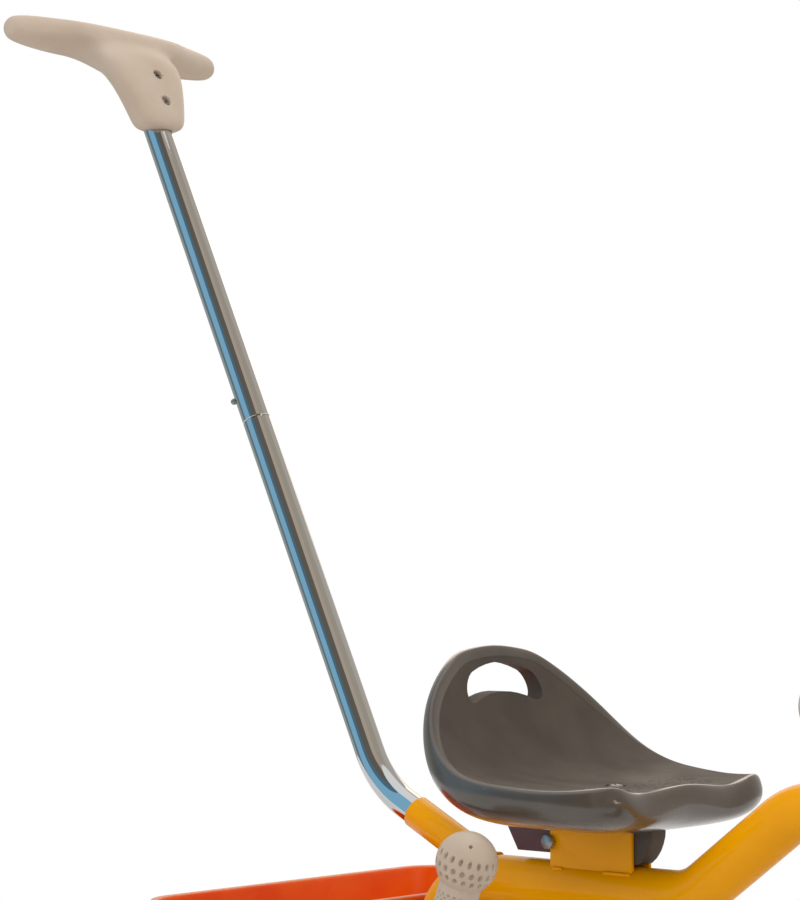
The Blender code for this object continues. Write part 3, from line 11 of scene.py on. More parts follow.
import bmesh
import bpy
import numpy as np
from mathutils import Matrix, Vector
from mathutils.kdtree import KDTree


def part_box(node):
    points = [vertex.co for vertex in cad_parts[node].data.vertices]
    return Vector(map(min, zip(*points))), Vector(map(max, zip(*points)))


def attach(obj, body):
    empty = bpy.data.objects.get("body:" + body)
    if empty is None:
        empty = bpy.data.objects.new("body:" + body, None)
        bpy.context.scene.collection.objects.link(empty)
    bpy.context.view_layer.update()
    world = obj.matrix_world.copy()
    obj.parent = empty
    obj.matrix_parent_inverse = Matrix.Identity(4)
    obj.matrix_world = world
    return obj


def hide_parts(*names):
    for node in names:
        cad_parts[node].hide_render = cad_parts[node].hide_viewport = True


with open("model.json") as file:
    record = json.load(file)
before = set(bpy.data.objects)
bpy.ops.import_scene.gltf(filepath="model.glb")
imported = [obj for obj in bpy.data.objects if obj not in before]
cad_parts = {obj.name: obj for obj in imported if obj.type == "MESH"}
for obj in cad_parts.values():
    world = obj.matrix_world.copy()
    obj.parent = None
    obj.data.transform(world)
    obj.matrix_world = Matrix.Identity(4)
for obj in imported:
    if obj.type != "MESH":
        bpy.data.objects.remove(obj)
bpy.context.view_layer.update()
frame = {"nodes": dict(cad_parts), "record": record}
nodes = frame["nodes"]


def middle_of(name):
    low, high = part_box(name)
    return (low + high) / 2


rear_axle = middle_of("rear_axle_rod")
front_axle = middle_of("front_tyre")
print("wheelbase:", round(front_axle.x - rear_axle.x, 4))

# %% [markdown]
# ## Colour and material helpers
# Colours are picked as web codes and turned to linear light, which is what a renderer adds up.
# One function adds any shader node, with its options, and feeds its inputs. Every pattern is
# scaled in millimetres, because the parts lie at their real size.


# %% Helpers for materials
def linear(code):
    shares = [int(code[i : i + 2], 16) / 255 for i in (0, 2, 4)]
    light = [s / 12.92 if s <= 0.04045 else ((s + 0.055) / 1.055) ** 2.4 for s in shares]
    return (*light, 1)


def feed(tree, node, inputs):
    """Links a node's input where another node's output is given, and else sets its value."""
    for key, value in inputs.items():
        if isinstance(value, bpy.types.NodeSocket):
            tree.links.new(value, node.inputs[key])
        else:
            node.inputs[key].default_value = value


def add_node(tree, kind, inputs=(), **options):
    made = tree.nodes.new("ShaderNode" + kind)
    for name, value in options.items():
        setattr(made, name, value)
    feed(tree, made, dict(inputs))
    return made


def start_material(name):
    made = bpy.data.materials.new(name)
    made.use_nodes = True
    tree = made.node_tree
    place = add_node(tree, "TexCoord").outputs["Object"]
    return made, tree, tree.nodes["Principled BSDF"], place


def blotches(tree, place, size_mm, detail=3.0, low=0.35, high=0.65):
    """Soft random patches of about one size, from 0 to 1."""
    noise = add_node(tree, "TexNoise", {"Vector": place, "Scale": 1000 / size_mm, "Detail": detail})
    inputs = {"Value": noise.outputs["Fac"], "From Min": low, "From Max": high}
    return add_node(tree, "MapRange", inputs).outputs["Result"]


def blend_colours(tree, amount, first, second):
    """Mixes two colours. A Mix node's sockets 0, 6 and 7 are its factor and its two colours."""
    mix = add_node(tree, "Mix", {0: amount, 6: first, 7: second}, data_type="RGBA")
    return mix.outputs[2]


def between(tree, amount, low, high):
    inputs = {"Value": amount, "To Min": low, "To Max": high}
    return add_node(tree, "MapRange", inputs).outputs["Result"]


def bumps(tree, height, depth_mm, under=None):
    inputs = {"Height": height, "Distance": depth_mm / 1000, "Strength": 1.0}
    if under is not None:
        inputs["Normal"] = under
    return add_node(tree, "Bump", inputs).outputs["Normal"]


FINISH = {}
print("enamel in linear light:", [round(v, 3) for v in linear("EEA200")])

# %% [markdown]
# ## Yellow enamel
# Stove enamel is sprayed on steel tube and baked. It levels out into a glossy coat with a faint
# orange-peel texture, and it picks up dust and fine rubbing marks. A clear coat over the colour
# adds a second and sharper reflection.

# %% The enamel
enamel, tree, shader, place = start_material("stove_enamel")
patches = blotches(tree, place, 70)
rubbing = blotches(tree, place, 9, 6, 0.45, 0.75)
peel = blotches(tree, place, 2.2, 1, 0.2, 0.8)
colour = blend_colours(tree, patches, linear("EEA200"), linear("E69800"))
look = {"Base Color": colour, "Roughness": between(tree, rubbing, 0.2, 0.32)}
look.update({"Normal": bumps(tree, peel, 0.012), "Specular IOR Level": 0.02})
feed(tree, shader, {**look, "Coat Weight": 0.3, "Coat Roughness": 0.05})
FINISH["yellow_enamel"] = enamel
print("enamel nodes:", len(tree.nodes))

# %% [markdown]
# ## Chrome and zinc
# Chrome plate is a mirror, so it is almost only what it reflects, with a few smudges. Zinc plate
# is greyer and duller, and its small crystals reflect a little differently from one to the next.

# %% The two metals
chrome, tree, shader, place = start_material("chrome_plate")
smudges = blotches(tree, place, 24, 5, 0.45, 0.8)
ripple = blotches(tree, place, 14, 2, 0.0, 1.0)
look = {"Metallic": 1.0, "Base Color": (0.6, 0.605, 0.61, 1)}
look["Roughness"] = between(tree, smudges, 0.03, 0.12)
feed(tree, shader, {**look, "Normal": bumps(tree, ripple, 0.03)})
FINISH["chrome_plate"] = chrome

zinc, tree, shader, place = start_material("zinc_plate")
crystals = add_node(tree, "TexVoronoi", {"Vector": place, "Scale": 1000 / 1.6}).outputs["Color"]
grey = add_node(tree, "RGBToBW", {"Color": crystals}).outputs["Val"]
stain = blotches(tree, place, 7, 5)
colour = blend_colours(tree, stain, linear("B4B3AF"), linear("97958F"))
look = {"Metallic": 1.0, "Base Color": colour, "Roughness": between(tree, grey, 0.36, 0.54)}
feed(tree, shader, {**look, "Normal": bumps(tree, stain, 0.03)})
FINISH["zinc_plate"] = zinc
print("metals:", chrome.name, zinc.name)

# %% [markdown]
# ## Moulded plastics
# The grips and wheels are a satin cream plastic with a fine spark-eroded grain from the mould.
# Maroon and orange parts come from similar moulds. The colour drifts a little, and handling
# polishes patches of the grain.


# %% Cream, maroon and orange plastic
def moulded(name, colour_code, shade_code, roughness, polish, grain_mm, depth_mm, sheen, glow=0.0):
    made, tree, shader, place = start_material(name)
    drift = blotches(tree, place, 45)
    specks = blotches(tree, place, 3.5, 8, 0.62, 0.8)
    colour = blend_colours(tree, drift, linear(colour_code), linear(shade_code))
    darker = [v * 0.86 for v in linear(shade_code)[:3]] + [1]
    colour = blend_colours(tree, between(tree, specks, 0, 0.5), colour, darker)
    grain = blotches(tree, place, grain_mm, 2, 0.2, 0.8)
    look = {"Base Color": colour, "Roughness": between(tree, drift, roughness, polish)}
    look.update({"Normal": bumps(tree, grain, depth_mm), "Specular IOR Level": sheen})
    feed(tree, shader, look)
    if glow:
        depths = {"Subsurface Radius": (0.004, 0.003, 0.002), "Subsurface Scale": 1.0}
        feed(tree, shader, {"Subsurface Weight": glow, **depths})
    return made


cream = moulded("cream_plastic", "BFAD9B", "B7A38F", 0.5, 0.4, 0.5, 0.012, 0.4, 0.06)
maroon = moulded("maroon_plastic", "5E4042", "533739", 0.5, 0.4, 0.5, 0.015, 0.4)
orange = moulded("orange_plastic", "F26604", "EC5602", 0.4, 0.3, 0.6, 0.01, 0.2, 0.04)
FINISH.update(cream_plastic=cream, maroon_plastic=maroon, orange_plastic=orange)
print("moulded plastics:", [FINISH[key].name for key in list(FINISH)[3:]])

# %% [markdown]
# ## Rubber
# Tyre rubber is a dark grey rather than black, with a chalky bloom and dust in its low places.

# %% The rubber
rubber, tree, shader, place = start_material("tyre_rubber")
bloom = blotches(tree, place, 16, 6)
dust = blotches(tree, place, 2.5, 6, 0.5, 0.75)
colour = blend_colours(tree, bloom, linear("2F2E2D"), linear("3A3937"))
colour = blend_colours(tree, between(tree, dust, 0, 0.35), colour, linear("6E675C"))
look = {"Base Color": colour, "Roughness": between(tree, bloom, 0.62, 0.8)}
feed(tree, shader, {**look, "Normal": bumps(tree, dust, 0.05)})
FINISH["tyre_rubber"] = rubber
print("rubber nodes:", len(tree.nodes))

# %% [markdown]
# ## Seat plastic
# The seat is one dark brown-grey moulding. Its rim is polished, drawn here with a clear coat, and
# its pan is duller. A long oval in the pan has a non-slip stipple. The real one is too fine to
# show, so it is drawn coarser, with bumps 2.3 mm apart. Each bump's light and shade is also painted
# into the colour, as painted shading: pale in its middle and dark at its edge. The seat's mesh
# carries two values: each point's distance from the rim in millimetres, and how much stipple it
# has. The first also draws the line where the rim ends.

# %% The seat's material
seat_finish, tree, shader, place = start_material("seat_plastic")
edge_mm = add_node(tree, "Attribute", attribute_name="edge_mm").outputs["Fac"]
stippled = add_node(tree, "Attribute", attribute_name="stipple").outputs["Fac"]
drift = blotches(tree, place, 40)
dust = blotches(tree, place, 2.0, 8, 0.66, 0.8)
colour = blend_colours(tree, drift, linear("4E453C"), linear("443C34"))
colour = blend_colours(tree, between(tree, dust, 0, 0.3), colour, linear("857B70"))
inside = add_node(tree, "MapRange", {"Value": edge_mm, "From Min": 9.0, "From Max": 10.6})
inside = inside.outputs["Result"]
pan_colour = blend_colours(tree, drift, linear("4F453B"), linear("473E35"))
colour = blend_colours(tree, inside, colour, pan_colour)
# Painted shading of the stipple: each bump is painted pale in its middle and dark at its edge, in
# place of its light and shade.
pebbles = add_node(tree, "TexVoronoi", {"Vector": place, "Scale": 1000 / 2.3})
stipple_shade_ramp = add_node(tree, "MapRange", {"Value": pebbles.outputs["Distance"], "From Max": 0.75})
stipple_painted_shade = blend_colours(tree, stipple_shade_ramp.outputs["Result"], linear("8C8173"), linear("241F1A"))
stipple_painted_shade_share = between(tree, stippled, 0, 0.6)
colour = blend_colours(tree, stipple_painted_shade_share, colour, stipple_painted_shade)
glossy = between(tree, drift, 0.26, 0.34)
rough = between(tree, drift, 0.58, 0.68)
mixed = add_node(tree, "Mix", {0: inside, 2: glossy, 3: rough}, data_type="FLOAT")
deep = {0: pebbles.outputs["Distance"], 1: stippled}
pebbles = add_node(tree, "Math", deep, operation="MULTIPLY")
grain = blotches(tree, place, 0.6, 2, 0.2, 0.8)
normal = bumps(tree, grain, 0.02)
normal = bumps(tree, inside, -0.7, normal)
normal = bumps(tree, pebbles.outputs["Value"], 1.1, normal)
look = {"Base Color": colour, "Roughness": mixed.outputs[0], "Normal": normal}
look.update({"Specular IOR Level": 0.35, "Coat Roughness": 0.16})
feed(tree, shader, {**look, "Coat Weight": between(tree, inside, 1.0, 0.0)})
FINISH["seat_plastic"] = seat_finish
print("seat material nodes:", len(tree.nodes))

# %% [markdown]
# ## Dress the measured parts
# Every part of the frame gets the finish of its slot. Parts that need a finer shape are replaced
# further on.

# %% Finishes on the parts
for part in frame["record"]["subparts"]:
    mesh = nodes[part["node"]].data
    mesh.materials.clear()
    mesh.materials.append(FINISH[part["material_slot"]])

# %% [markdown]
# ## Shape helpers
# Round things are a profile spun about a line. A relief function can press the surface in, which
# gives dimples, ribs and tread. Tubes are rings along a bent path. Curves that need a wall or a
# hole are cut with the Boolean modifier.


# %% Helpers for shapes
def unit(vector):
    return vector / vector.length


def axes_along(start, end, face=None):
    """A matrix at start whose Z runs towards end and whose X leans towards face."""
    way = unit(end - start)
    side = Vector(face) if face else (Vector((0, 0, 1)) if abs(way.z) < 0.9 else Vector((1, 0, 0)))
    side = unit(side - way * side.dot(way))
    turn = Matrix((side, way.cross(side), way)).transposed().to_4x4()
    return Matrix.Translation(start) @ turn


def mesh_from(shape, name):
    """Turns a bmesh into a mesh and frees it."""
    mesh = bpy.data.meshes.new(name)
    shape.to_mesh(mesh)
    shape.free()
    return mesh


def smoothed(mesh, degrees=38):
    """Shades a mesh smooth, apart from edges sharper than the angle."""
    mesh.shade_smooth()
    mesh.set_sharp_from_angle(angle=math.radians(degrees))
    return mesh


def cleaned(mesh, weld):
    """Welds points that meet and turns all faces outwards."""
    shape = bmesh.new()
    shape.from_mesh(mesh)
    if weld:
        bmesh.ops.remove_doubles(shape, verts=shape.verts, dist=weld)
    bmesh.ops.recalc_face_normals(shape, faces=shape.faces)
    shape.to_mesh(mesh)
    shape.free()
    return smoothed(mesh)


def finish_mesh(name, points, faces, weld=0.0):
    mesh = bpy.data.meshes.new(name)
    mesh.from_pydata([tuple(p) for p in points], [], [tuple(f) for f in faces])
    return cleaned(mesh, weld)


def ring_faces(rings, steps, closed=True):
    index = np.arange(rings * steps).reshape(rings, steps)
    beside = np.roll(index, -1, 1)
    if not closed:
        index, beside = index[:, :-1], beside[:, :-1]
    quads = [index[:-1], beside[:-1], beside[1:], index[1:]]
    return np.stack([q.ravel() for q in quads], 1).tolist()


def turned(name, start, end, profile, steps=64, relief=None, face=None):
    """Spins (radius, distance) points about a line. relief(turn, radius, distance) is a depth."""
    radius, reach = np.array(profile, float).T
    along_r, along_h = np.gradient(radius), np.gradient(reach)
    size = np.maximum(np.hypot(along_r, along_h), 1e-9)
    turn = np.linspace(0, 2 * math.pi, steps, endpoint=False)
    r = np.repeat(radius[:, None], steps, 1)
    h = np.repeat(reach[:, None], steps, 1)
    if relief:
        depth = relief(turn[None, :] + 0 * r, r, h)
        r = r - depth * (along_h / size)[:, None]
        h = h + depth * (along_r / size)[:, None]
    local = np.stack([r * np.cos(turn), r * np.sin(turn), h], -1).reshape(-1, 3)
    matrix = np.array(axes_along(start, end, face))
    points = local @ matrix[:3, :3].T + matrix[:3, 3]
    faces = ring_faces(len(radius), steps)
    return finish_mesh(name, points, faces, 1e-6)


def bent_path(corners, radii, step_degrees=3):
    """The corners of a bent tube's centre line, each inner corner rounded to its radius."""
    points = [corners[0]]
    for before, corner, after, radius in zip(corners, corners[1:], corners[2:], radii):
        into, out = unit(corner - before), unit(after - corner)
        angle = into.angle(out)
        start = corner - into * radius * math.tan(angle / 2)
        side = unit(out - into * out.dot(into))
        count = max(2, math.ceil(math.degrees(angle) / step_degrees))
        for i in range(count + 1):
            a = angle * i / count
            points.append(start + (into * math.sin(a) + side * (1 - math.cos(a))) * radius)
    points.append(corners[-1])
    return points


def swept(name, stations, sides=48):
    """A tube through (point, radius) stations. Repeated points make a step in the radius."""
    places = [Vector(p) for p, _ in stations]
    turn = np.linspace(0, 2 * math.pi, sides, endpoint=False)
    rows = []
    side = None
    for i, (_, radius) in enumerate(stations):
        here = places[i]
        before = [p for p in places[:i] if (p - here).length > 1e-6]
        after = [p for p in places[i + 1 :] if (p - here).length > 1e-6]
        way = Vector((0, 0, 0))
        if before:
            way += unit(here - before[-1])
        if after:
            way += unit(after[0] - here)
        way = unit(way)
        if side is None:
            side = way.orthogonal()
        side = unit(side - way * side.dot(way))
        up = way.cross(side)
        ring = np.outer(np.cos(turn), side) + np.outer(np.sin(turn), up)
        rows.append(np.array(here) + ring * radius)
    return finish_mesh(name, np.concatenate(rows), ring_faces(len(rows), sides), 1e-7)


def bake(obj):
    """Applies an object's modifiers, or turns a curve to a mesh, and takes the object away."""
    bpy.context.view_layer.update()
    graph = bpy.context.evaluated_depsgraph_get()
    mesh = bpy.data.meshes.new_from_object(obj.evaluated_get(graph))
    mesh.transform(obj.matrix_world)
    bpy.data.objects.remove(obj)
    return mesh


def loose(mesh):
    obj = bpy.data.objects.new(mesh.name, mesh)
    bpy.context.scene.collection.objects.link(obj)
    return obj


def carve(mesh, *cutters, operation="DIFFERENCE"):
    """Cuts closed meshes out of a closed mesh, or joins them to it."""
    obj = loose(mesh)
    tools = [loose(cutter) for cutter in cutters]
    for tool in tools:
        step = obj.modifiers.new("carve", "BOOLEAN")
        step.solver = "EXACT"
        step.operation = operation
        step.object = tool
    made = bake(obj)
    for tool in tools:
        bpy.data.objects.remove(tool)
    return made


def rod(start, end, radius, sides=48):
    """A plain closed round bar, used to cut holes."""
    shape = bmesh.new()
    length = (end - start).length
    middle = Matrix.Translation((0, 0, length / 2))
    sizes = {"segments": sides, "radius1": radius, "radius2": radius, "depth": length}
    bmesh.ops.create_cone(shape, cap_ends=True, matrix=axes_along(start, end) @ middle, **sizes)
    return mesh_from(shape, "rod")


def piece(name, mesh, slot, body, *stands_for):
    """Puts a finished mesh in the scene, riding on a body."""
    mesh.name = name
    mesh.materials.clear()
    mesh.materials.append(FINISH[slot])
    obj = bpy.data.objects.new(name, mesh)
    bpy.context.scene.collection.objects.link(obj)
    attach(obj, body)
    if stands_for:
        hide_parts(*stands_for)
    return obj


def turned_piece(name, start, way, profile, steps, slot, body, *stands_for):
    return piece(name, turned(name, start, start + way, profile, steps), slot, body, *stands_for)


def closed_ends(line, radius):
    """Stations for a solid bar along a line."""
    return [(line[0], 0.0), *[(point, radius) for point in line], (line[-1], 0.0)]


def at(x, y, z):
    """A point given from the rear axle, on the floor."""
    return Vector((x + rear_axle.x, y, z))


SIDES = (("left", 1), ("right", -1))
ahead, left, up = Vector((1, 0, 0)), Vector((0, 1, 0)), Vector((0, 0, 1))
bolt_bore, sheet_edge = 0.0033, 0.0006
axle_high, half_track = 0.1, 0.205
print("a point over the rear axle:", list(at(0, 0, axle_high)))

# %% [markdown]
# ## The frame's tubes
# The main tube is one piece of 36 mm steel tube, bent three times. It is built again with many
# more sides, so that the streak of light along it bends smoothly, and it is cut to fit round the
# head tube and the rear axle tube as a tube shop would cope it.

# %% Main tube and handle socket
head_lean = math.radians(14)
steer_way = Vector((-math.sin(head_lean), 0, math.cos(head_lean)))
low_run, high_run, axle_tube_bore = 0.266, 0.331, 0.0143
head_centre = front_axle + steer_way * (high_run - front_axle.z) / steer_way.z
rear_rise = (low_run - axle_high) / math.tan(math.radians(75))
front_rise = (high_run - low_run) / math.tan(math.radians(37.5))
tube_corners = [
    at(0, 0, axle_high),
    at(rear_rise, 0, low_run),
    at(0.2583, 0, low_run),
    at(0.2583 + front_rise, 0, high_run),
    head_centre,
]
tube_line = bent_path(tube_corners, [0.050, 0.045, 0.050], 2.5)
main_tube = swept("main_tube", closed_ends(tube_line, 0.018), 72)
across = Vector((0, 0.03, 0))
main_tube = carve(
    main_tube,
    rod(tube_line[0] - across, tube_line[0] + across, axle_tube_bore),
    rod(head_centre - steer_way * 0.04, head_centre + steer_way * 0.04, 0.0193),
)
piece("main_tube", main_tube, "yellow_enamel", "frame", "backbone_tube")

socket_mouth = at(0.010, 0, 0.310)
socket_slope, socket_radius = math.radians(27), 0.0122
socket_way = Vector((math.cos(socket_slope), 0, -math.sin(socket_slope)))
socket_length = 0.044 / math.sin(socket_slope)
socket_profile = [
    (0.0113, 0.03),
    (0.0113, 0.0003),
    (0.0115, 0.0),
    (0.0120, 0.0),
    (socket_radius, 0.0003),
    (socket_radius, socket_length),
]
socket = (socket_mouth, socket_way, socket_profile, 72)
turned_piece("handle_socket_fine", *socket, "yellow_enamel", "frame", "handle_socket")
print("main tube points:", len(tube_line), "socket length mm:", round(socket_length * 1000, 1))

# %% [markdown]
# ## Weld beads
# The tubes and plates are joined by arc welds, and the enamel flows over them. A bead is a thin
# tube along the seam whose thickness rises and falls every 2.6 mm, as the weld pool freezes.


# %% Weld beads
bead_step = 0.0009


def bead(name, points, radius, body="frame"):
    stations = []
    for first, second in zip(points, points[1:]):
        count = max(1, round((second - first).length / bead_step))
        for i in range(count):
            stations.append(first.lerp(second, i / count))
    stations.append(points[-1])
    wave = 2 * math.pi * bead_step / 0.0026
    sizes = [radius * (1 + 0.16 * math.sin(wave * i)) for i in range(len(stations))]
    sizes[0] = sizes[-1] = radius * 0.3
    mesh = swept(name, list(zip(stations, sizes)), 10)
    return piece(name, mesh, "yellow_enamel", body)


def seam(start, way, radius, other, other_way, other_radius, turns):
    """Where a tube that runs along way meets another tube's side."""
    side = unit(way.cross(other_way))
    up = side.cross(way)
    points = []
    for turn in turns:
        foot = start + (side * math.sin(turn) + up * math.cos(turn)) * radius
        gap = foot - other
        flat = gap - other_way * gap.dot(other_way)
        run = way - other_way * way.dot(other_way)
        a, b, c = run.dot(run), 2 * run.dot(flat), flat.dot(flat) - other_radius**2
        inner = b * b - 4 * a * c
        if inner < 0:
            continue
        points.append(foot + way * ((-b - math.sqrt(inner)) / (2 * a)))
    return points


full_turn = np.radians(np.linspace(0, 360, 49))
tube_end = head_centre - ahead * 0.1
head_seam = seam(tube_end, ahead, 0.0182, head_centre, steer_way, 0.0190, full_turn)
bead("head_tube_weld", head_seam, 0.0019)
upper_arc = np.radians(np.linspace(-128, 128, 40))
on_tube = at(0.1, 0, low_run)
socket_seam = seam(socket_mouth, socket_way, socket_radius, on_tube, ahead, 0.0181, upper_arc)
bead("socket_weld", socket_seam, 0.0016)

# %% [markdown]
# ## The push handle's tubes
# The handle is two chromed steel tubes. The lower one is bent where it enters the socket, and ends
# in a narrower spigot on which the upper one is pushed. Their ends are deburred, and that small
# chamfer is what makes the joint show as a bright line with a dark one under it.

# %% Lower and upper push tubes
push_slope = math.radians(64.5)
push_way = Vector((-math.cos(push_slope), 0, math.sin(push_slope)))
push_front = Vector((math.sin(push_slope), 0, math.cos(push_slope)))
push_corner = socket_mouth - socket_way * 0.0396
lower_length, upper_length = 0.3103, 0.3277
push_joint = push_corner + push_way * lower_length
tube_top = push_joint + push_way * upper_length
button_turn = math.radians(42)
button_way = push_front * math.cos(button_turn) + Vector((0, math.sin(button_turn), 0))
button_foot = push_joint + push_way * 0.0213
button_hole = rod(button_foot, button_foot - button_way * 0.022, 0.0028, 24)
lower_line = bent_path([socket_mouth + socket_way * 0.047, push_corner, push_joint], [0.078], 2)
spigot_end = push_joint + push_way * 0.060


def lower_shape(name, outer, spigot, chamfer, spare):
    first = lower_line[0] + socket_way * spare
    last = spigot_end + push_way * spare
    stations = [(first, 0.0), (first, outer), *[(p, outer) for p in lower_line[1:-1]]]
    stations += [(push_joint - push_way * chamfer, outer), (push_joint, outer - chamfer)]
    stations += [(push_joint, spigot), (last, spigot), (last, 0.0)]
    return swept(name, stations, 64)


lower_tube = lower_shape("lower_tube", 0.011, 0.0095, 0.0006, 0.0)
lower_tube = carve(lower_tube, lower_shape("hollow", 0.0083, 0.0082, 0.0001, 0.01), button_hole)
piece("lower_push_tube", lower_tube, "chrome_plate", "frame", "push_tube_lower")
upper_profile = [
    (0.0098, 0.0003),
    (0.0104, 0.0003),
    (0.0110, 0.0009),
    (0.0110, upper_length),
    (0.0098, upper_length),
    (0.0098, 0.0003),
]
upper_tube = turned("upper_tube", push_joint, tube_top, upper_profile, 64)
piece("upper_push_tube", carve(upper_tube, button_hole), "chrome_plate", "frame", "push_tube_upper")
print("push tubes mm:", round(lower_length * 1000), round(upper_length * 1000))

# %% [markdown]
# ## The push grip
# The grip is a T, moulded in one piece: a bar that tapers to its ends, and a stem that grows out
# of it. Such a blend is hard to make from separate shapes. A coarse cage of corners is pulled into
# place instead, and Subdivision Surface rounds it off, as a modeller smooths clay.


# %% The grip's cage
def grip_ring(sign, back_y, front_y, back, front, front_height):
    half, bar = 0.114 * sign, 0.0158
    return [
        (front * bar, front_y * half, front_height * bar),
        (-back * bar, back_y * half, back * bar),
        (-back * bar, back_y * half, -back * bar),
        (front * bar, front_y * half, -back * bar),
    ]


grip_stations = (
    (1.00, 1.00, 0.45, 0.45, 0.45),
    (0.95, 0.95, 0.72, 0.72, 0.72),
    (0.74, 0.75, 0.90, 0.95, 0.88),
    (0.48, 0.58, 1.00, 1.40, 0.62),
    (0.31, 0.45, 1.00, 1.85, 0.36),
)
stem_steps = (
    (-1.40, 1.84, -0.16, 2.70, 1.40, 0.00),
    (-2.56, 1.88, 0.05, 2.42, 1.00, 0.00),
    (-4.00, 1.83, 0.09, 1.58, 1.00, 0.19),
    (-4.98, 1.66, 0.14, 1.08, 1.00, 0.92),
)


def grip_cage():
    rings = [grip_ring(-1, *station) for station in grip_stations]
    rings += [grip_ring(1, *station) for station in reversed(grip_stations)]
    shape = bmesh.new()
    made = [[shape.verts.new(point) for point in ring] for ring in rings]
    for low, high in zip(made, made[1:]):
        for i in range(4):
            j = (i + 1) % 4
            shape.faces.new((low[i], low[j], high[j], high[i]))
    shape.faces.new(made[0][::-1])
    shape.faces.new(made[-1])
    middles = [(face.calc_center_median(), face) for face in shape.faces]
    face = next(f for m, f in middles if abs(m.y) < 0.001 and m.z < -0.008)
    for height, front, back, front_y, back_y, back_rise in stem_steps:
        face = bmesh.ops.extrude_discrete_faces(shape, faces=[face])["faces"][0]
        middle = face.calc_center_median()
        for vert in face.verts:
            side = 1 if vert.co.y > 0 else -1
            if vert.co.x > middle.x:
                place = Vector((front, side * front_y, height))
            else:
                place = Vector((back, side * back_y, height + back_rise))
            vert.co = place * 0.0215
    bmesh.ops.recalc_face_normals(shape, faces=shape.faces)
    return mesh_from(shape, "grip_cage")


def rounded_off(mesh, levels):
    mesh.shade_smooth()
    obj = loose(mesh)
    step = obj.modifiers.new("soft form", "SUBSURF")
    step.levels = step.render_levels = levels
    return bake(obj)


grip_back, grip_bore = 0.0177, 0.0113
grip_middle = tube_top + push_way * 0.0385 - push_front * grip_back
grip_place = Matrix((push_front, Vector((0, 1, 0)), push_way)).transposed().to_4x4()
grip = rounded_off(grip_cage(), 4)
grip.transform(Matrix.Translation(grip_middle) @ grip_place)
print("grip faces:", len(grip.polygons))

# %% [markdown]
# Two recessed screws hold the grip on the tube. Each screw sits at the bottom of a round well, and
# has a pan head with a cross recess for the driver.


# %% Screws and their wells
def merged(*meshes):
    shape = bmesh.new()
    for mesh in meshes:
        shape.from_mesh(mesh)
    return smoothed(mesh_from(shape, "merged"))


def bar(matrix, size):
    shape = bmesh.new()
    bmesh.ops.create_cube(shape, size=1, matrix=matrix @ Matrix.Diagonal((*size, 1)))
    return mesh_from(shape, "bar")


def cross_screw(start, way, head, head_rise, shank, length, turn=0.4):
    """A screw whose head's top is at length along way from start."""
    under = length - head_rise
    profile = [
        (0, length),
        (head * 0.45, length - head_rise * 0.05),
        (head * 0.75, length - head_rise * 0.2),
        (head * 0.93, length - head_rise * 0.5),
        (head, length - head_rise * 0.8),
        (head, under),
        (shank, under),
        (shank, 0),
        (0, 0),
    ]
    mesh = turned("screw", start, start + way, profile[::-1], 40)
    matrix = axes_along(start + way * length, start + way * (length + 1))
    matrix = matrix @ Matrix.Rotation(turn, 4, "Z")
    wide, narrow, deep = head * 1.15, head * 0.26, head_rise * 1.1
    return carve(mesh, bar(matrix, (wide, narrow, deep)), bar(matrix, (narrow, wide, deep)))


wells = []
for name, height, turn in (("upper", -0.051, 0.3), ("lower", -0.0765, 1.0)):
    foot = grip_middle + push_way * height + push_front * (grip_back + grip_bore)
    well = [(0, 0.0054), (0.0042, 0.0054), (0.0046, 0.0058), (0.0046, 0.03), (0, 0.03)]
    wells.append(turned("well", foot, foot + push_front, well, 40))
    screw = cross_screw(foot, push_front, 0.0039, 0.0024, 0.0015, 0.0080, turn)
    piece("stem_screw_" + name, screw, "zinc_plate", "frame", "grip_screw_" + name)
tube_hole = rod(tube_top - push_way * 0.14, tube_top + push_way * 0.0003, grip_bore, 64)
grip = carve(grip, tube_hole, *wells)
piece("push_handle_grip", grip, "cream_plastic", "frame", "push_grip")
print("wells:", len(wells))

# %% [markdown]
# ## The seat
# The seat is one thick moulding with a high back, a rolled rim and a hollow pan. Half of its rim
# and its centre line are given as measured points. Rows of points between them make the cage of
# the top, a second sheet makes the underside, and a ring joins them. Subdivision Surface turns the
# cage into the smooth moulding.

# %% The seat's cage
seat_rim = (
    (0.089, 0.000, 0.4345),
    (0.090, 0.045, 0.428),
    (0.099, 0.077, 0.409),
    (0.112, 0.101, 0.387),
    (0.132, 0.116, 0.364),
    (0.157, 0.122, 0.3515),
    (0.188, 0.118, 0.3475),
    (0.216, 0.1115, 0.345),
    (0.238, 0.1040, 0.3465),
    (0.249, 0.0935, 0.3480),
    (0.2540, 0.0765, 0.3480),
    (0.2560, 0.0000, 0.3455),
)
seat_centre = (
    (0.089, 0.4345),
    (0.088, 0.426),
    (0.091, 0.404),
    (0.099, 0.380),
    (0.117, 0.355),
    (0.145, 0.341),
    (0.180, 0.3375),
    (0.212, 0.3375),
    (0.235, 0.3380),
    (0.2475, 0.3420),
    (0.2560, 0.3485),
    (0.2560, 0.3485),
)
seat_depth = (0.012, 0.012, 0.013, 0.016, 0.026, 0.032, 0.029, 0.028, 0.029, 0.026, 0.020, 0.020)
thigh_dips = (0.002, 0.006, 0.0135)


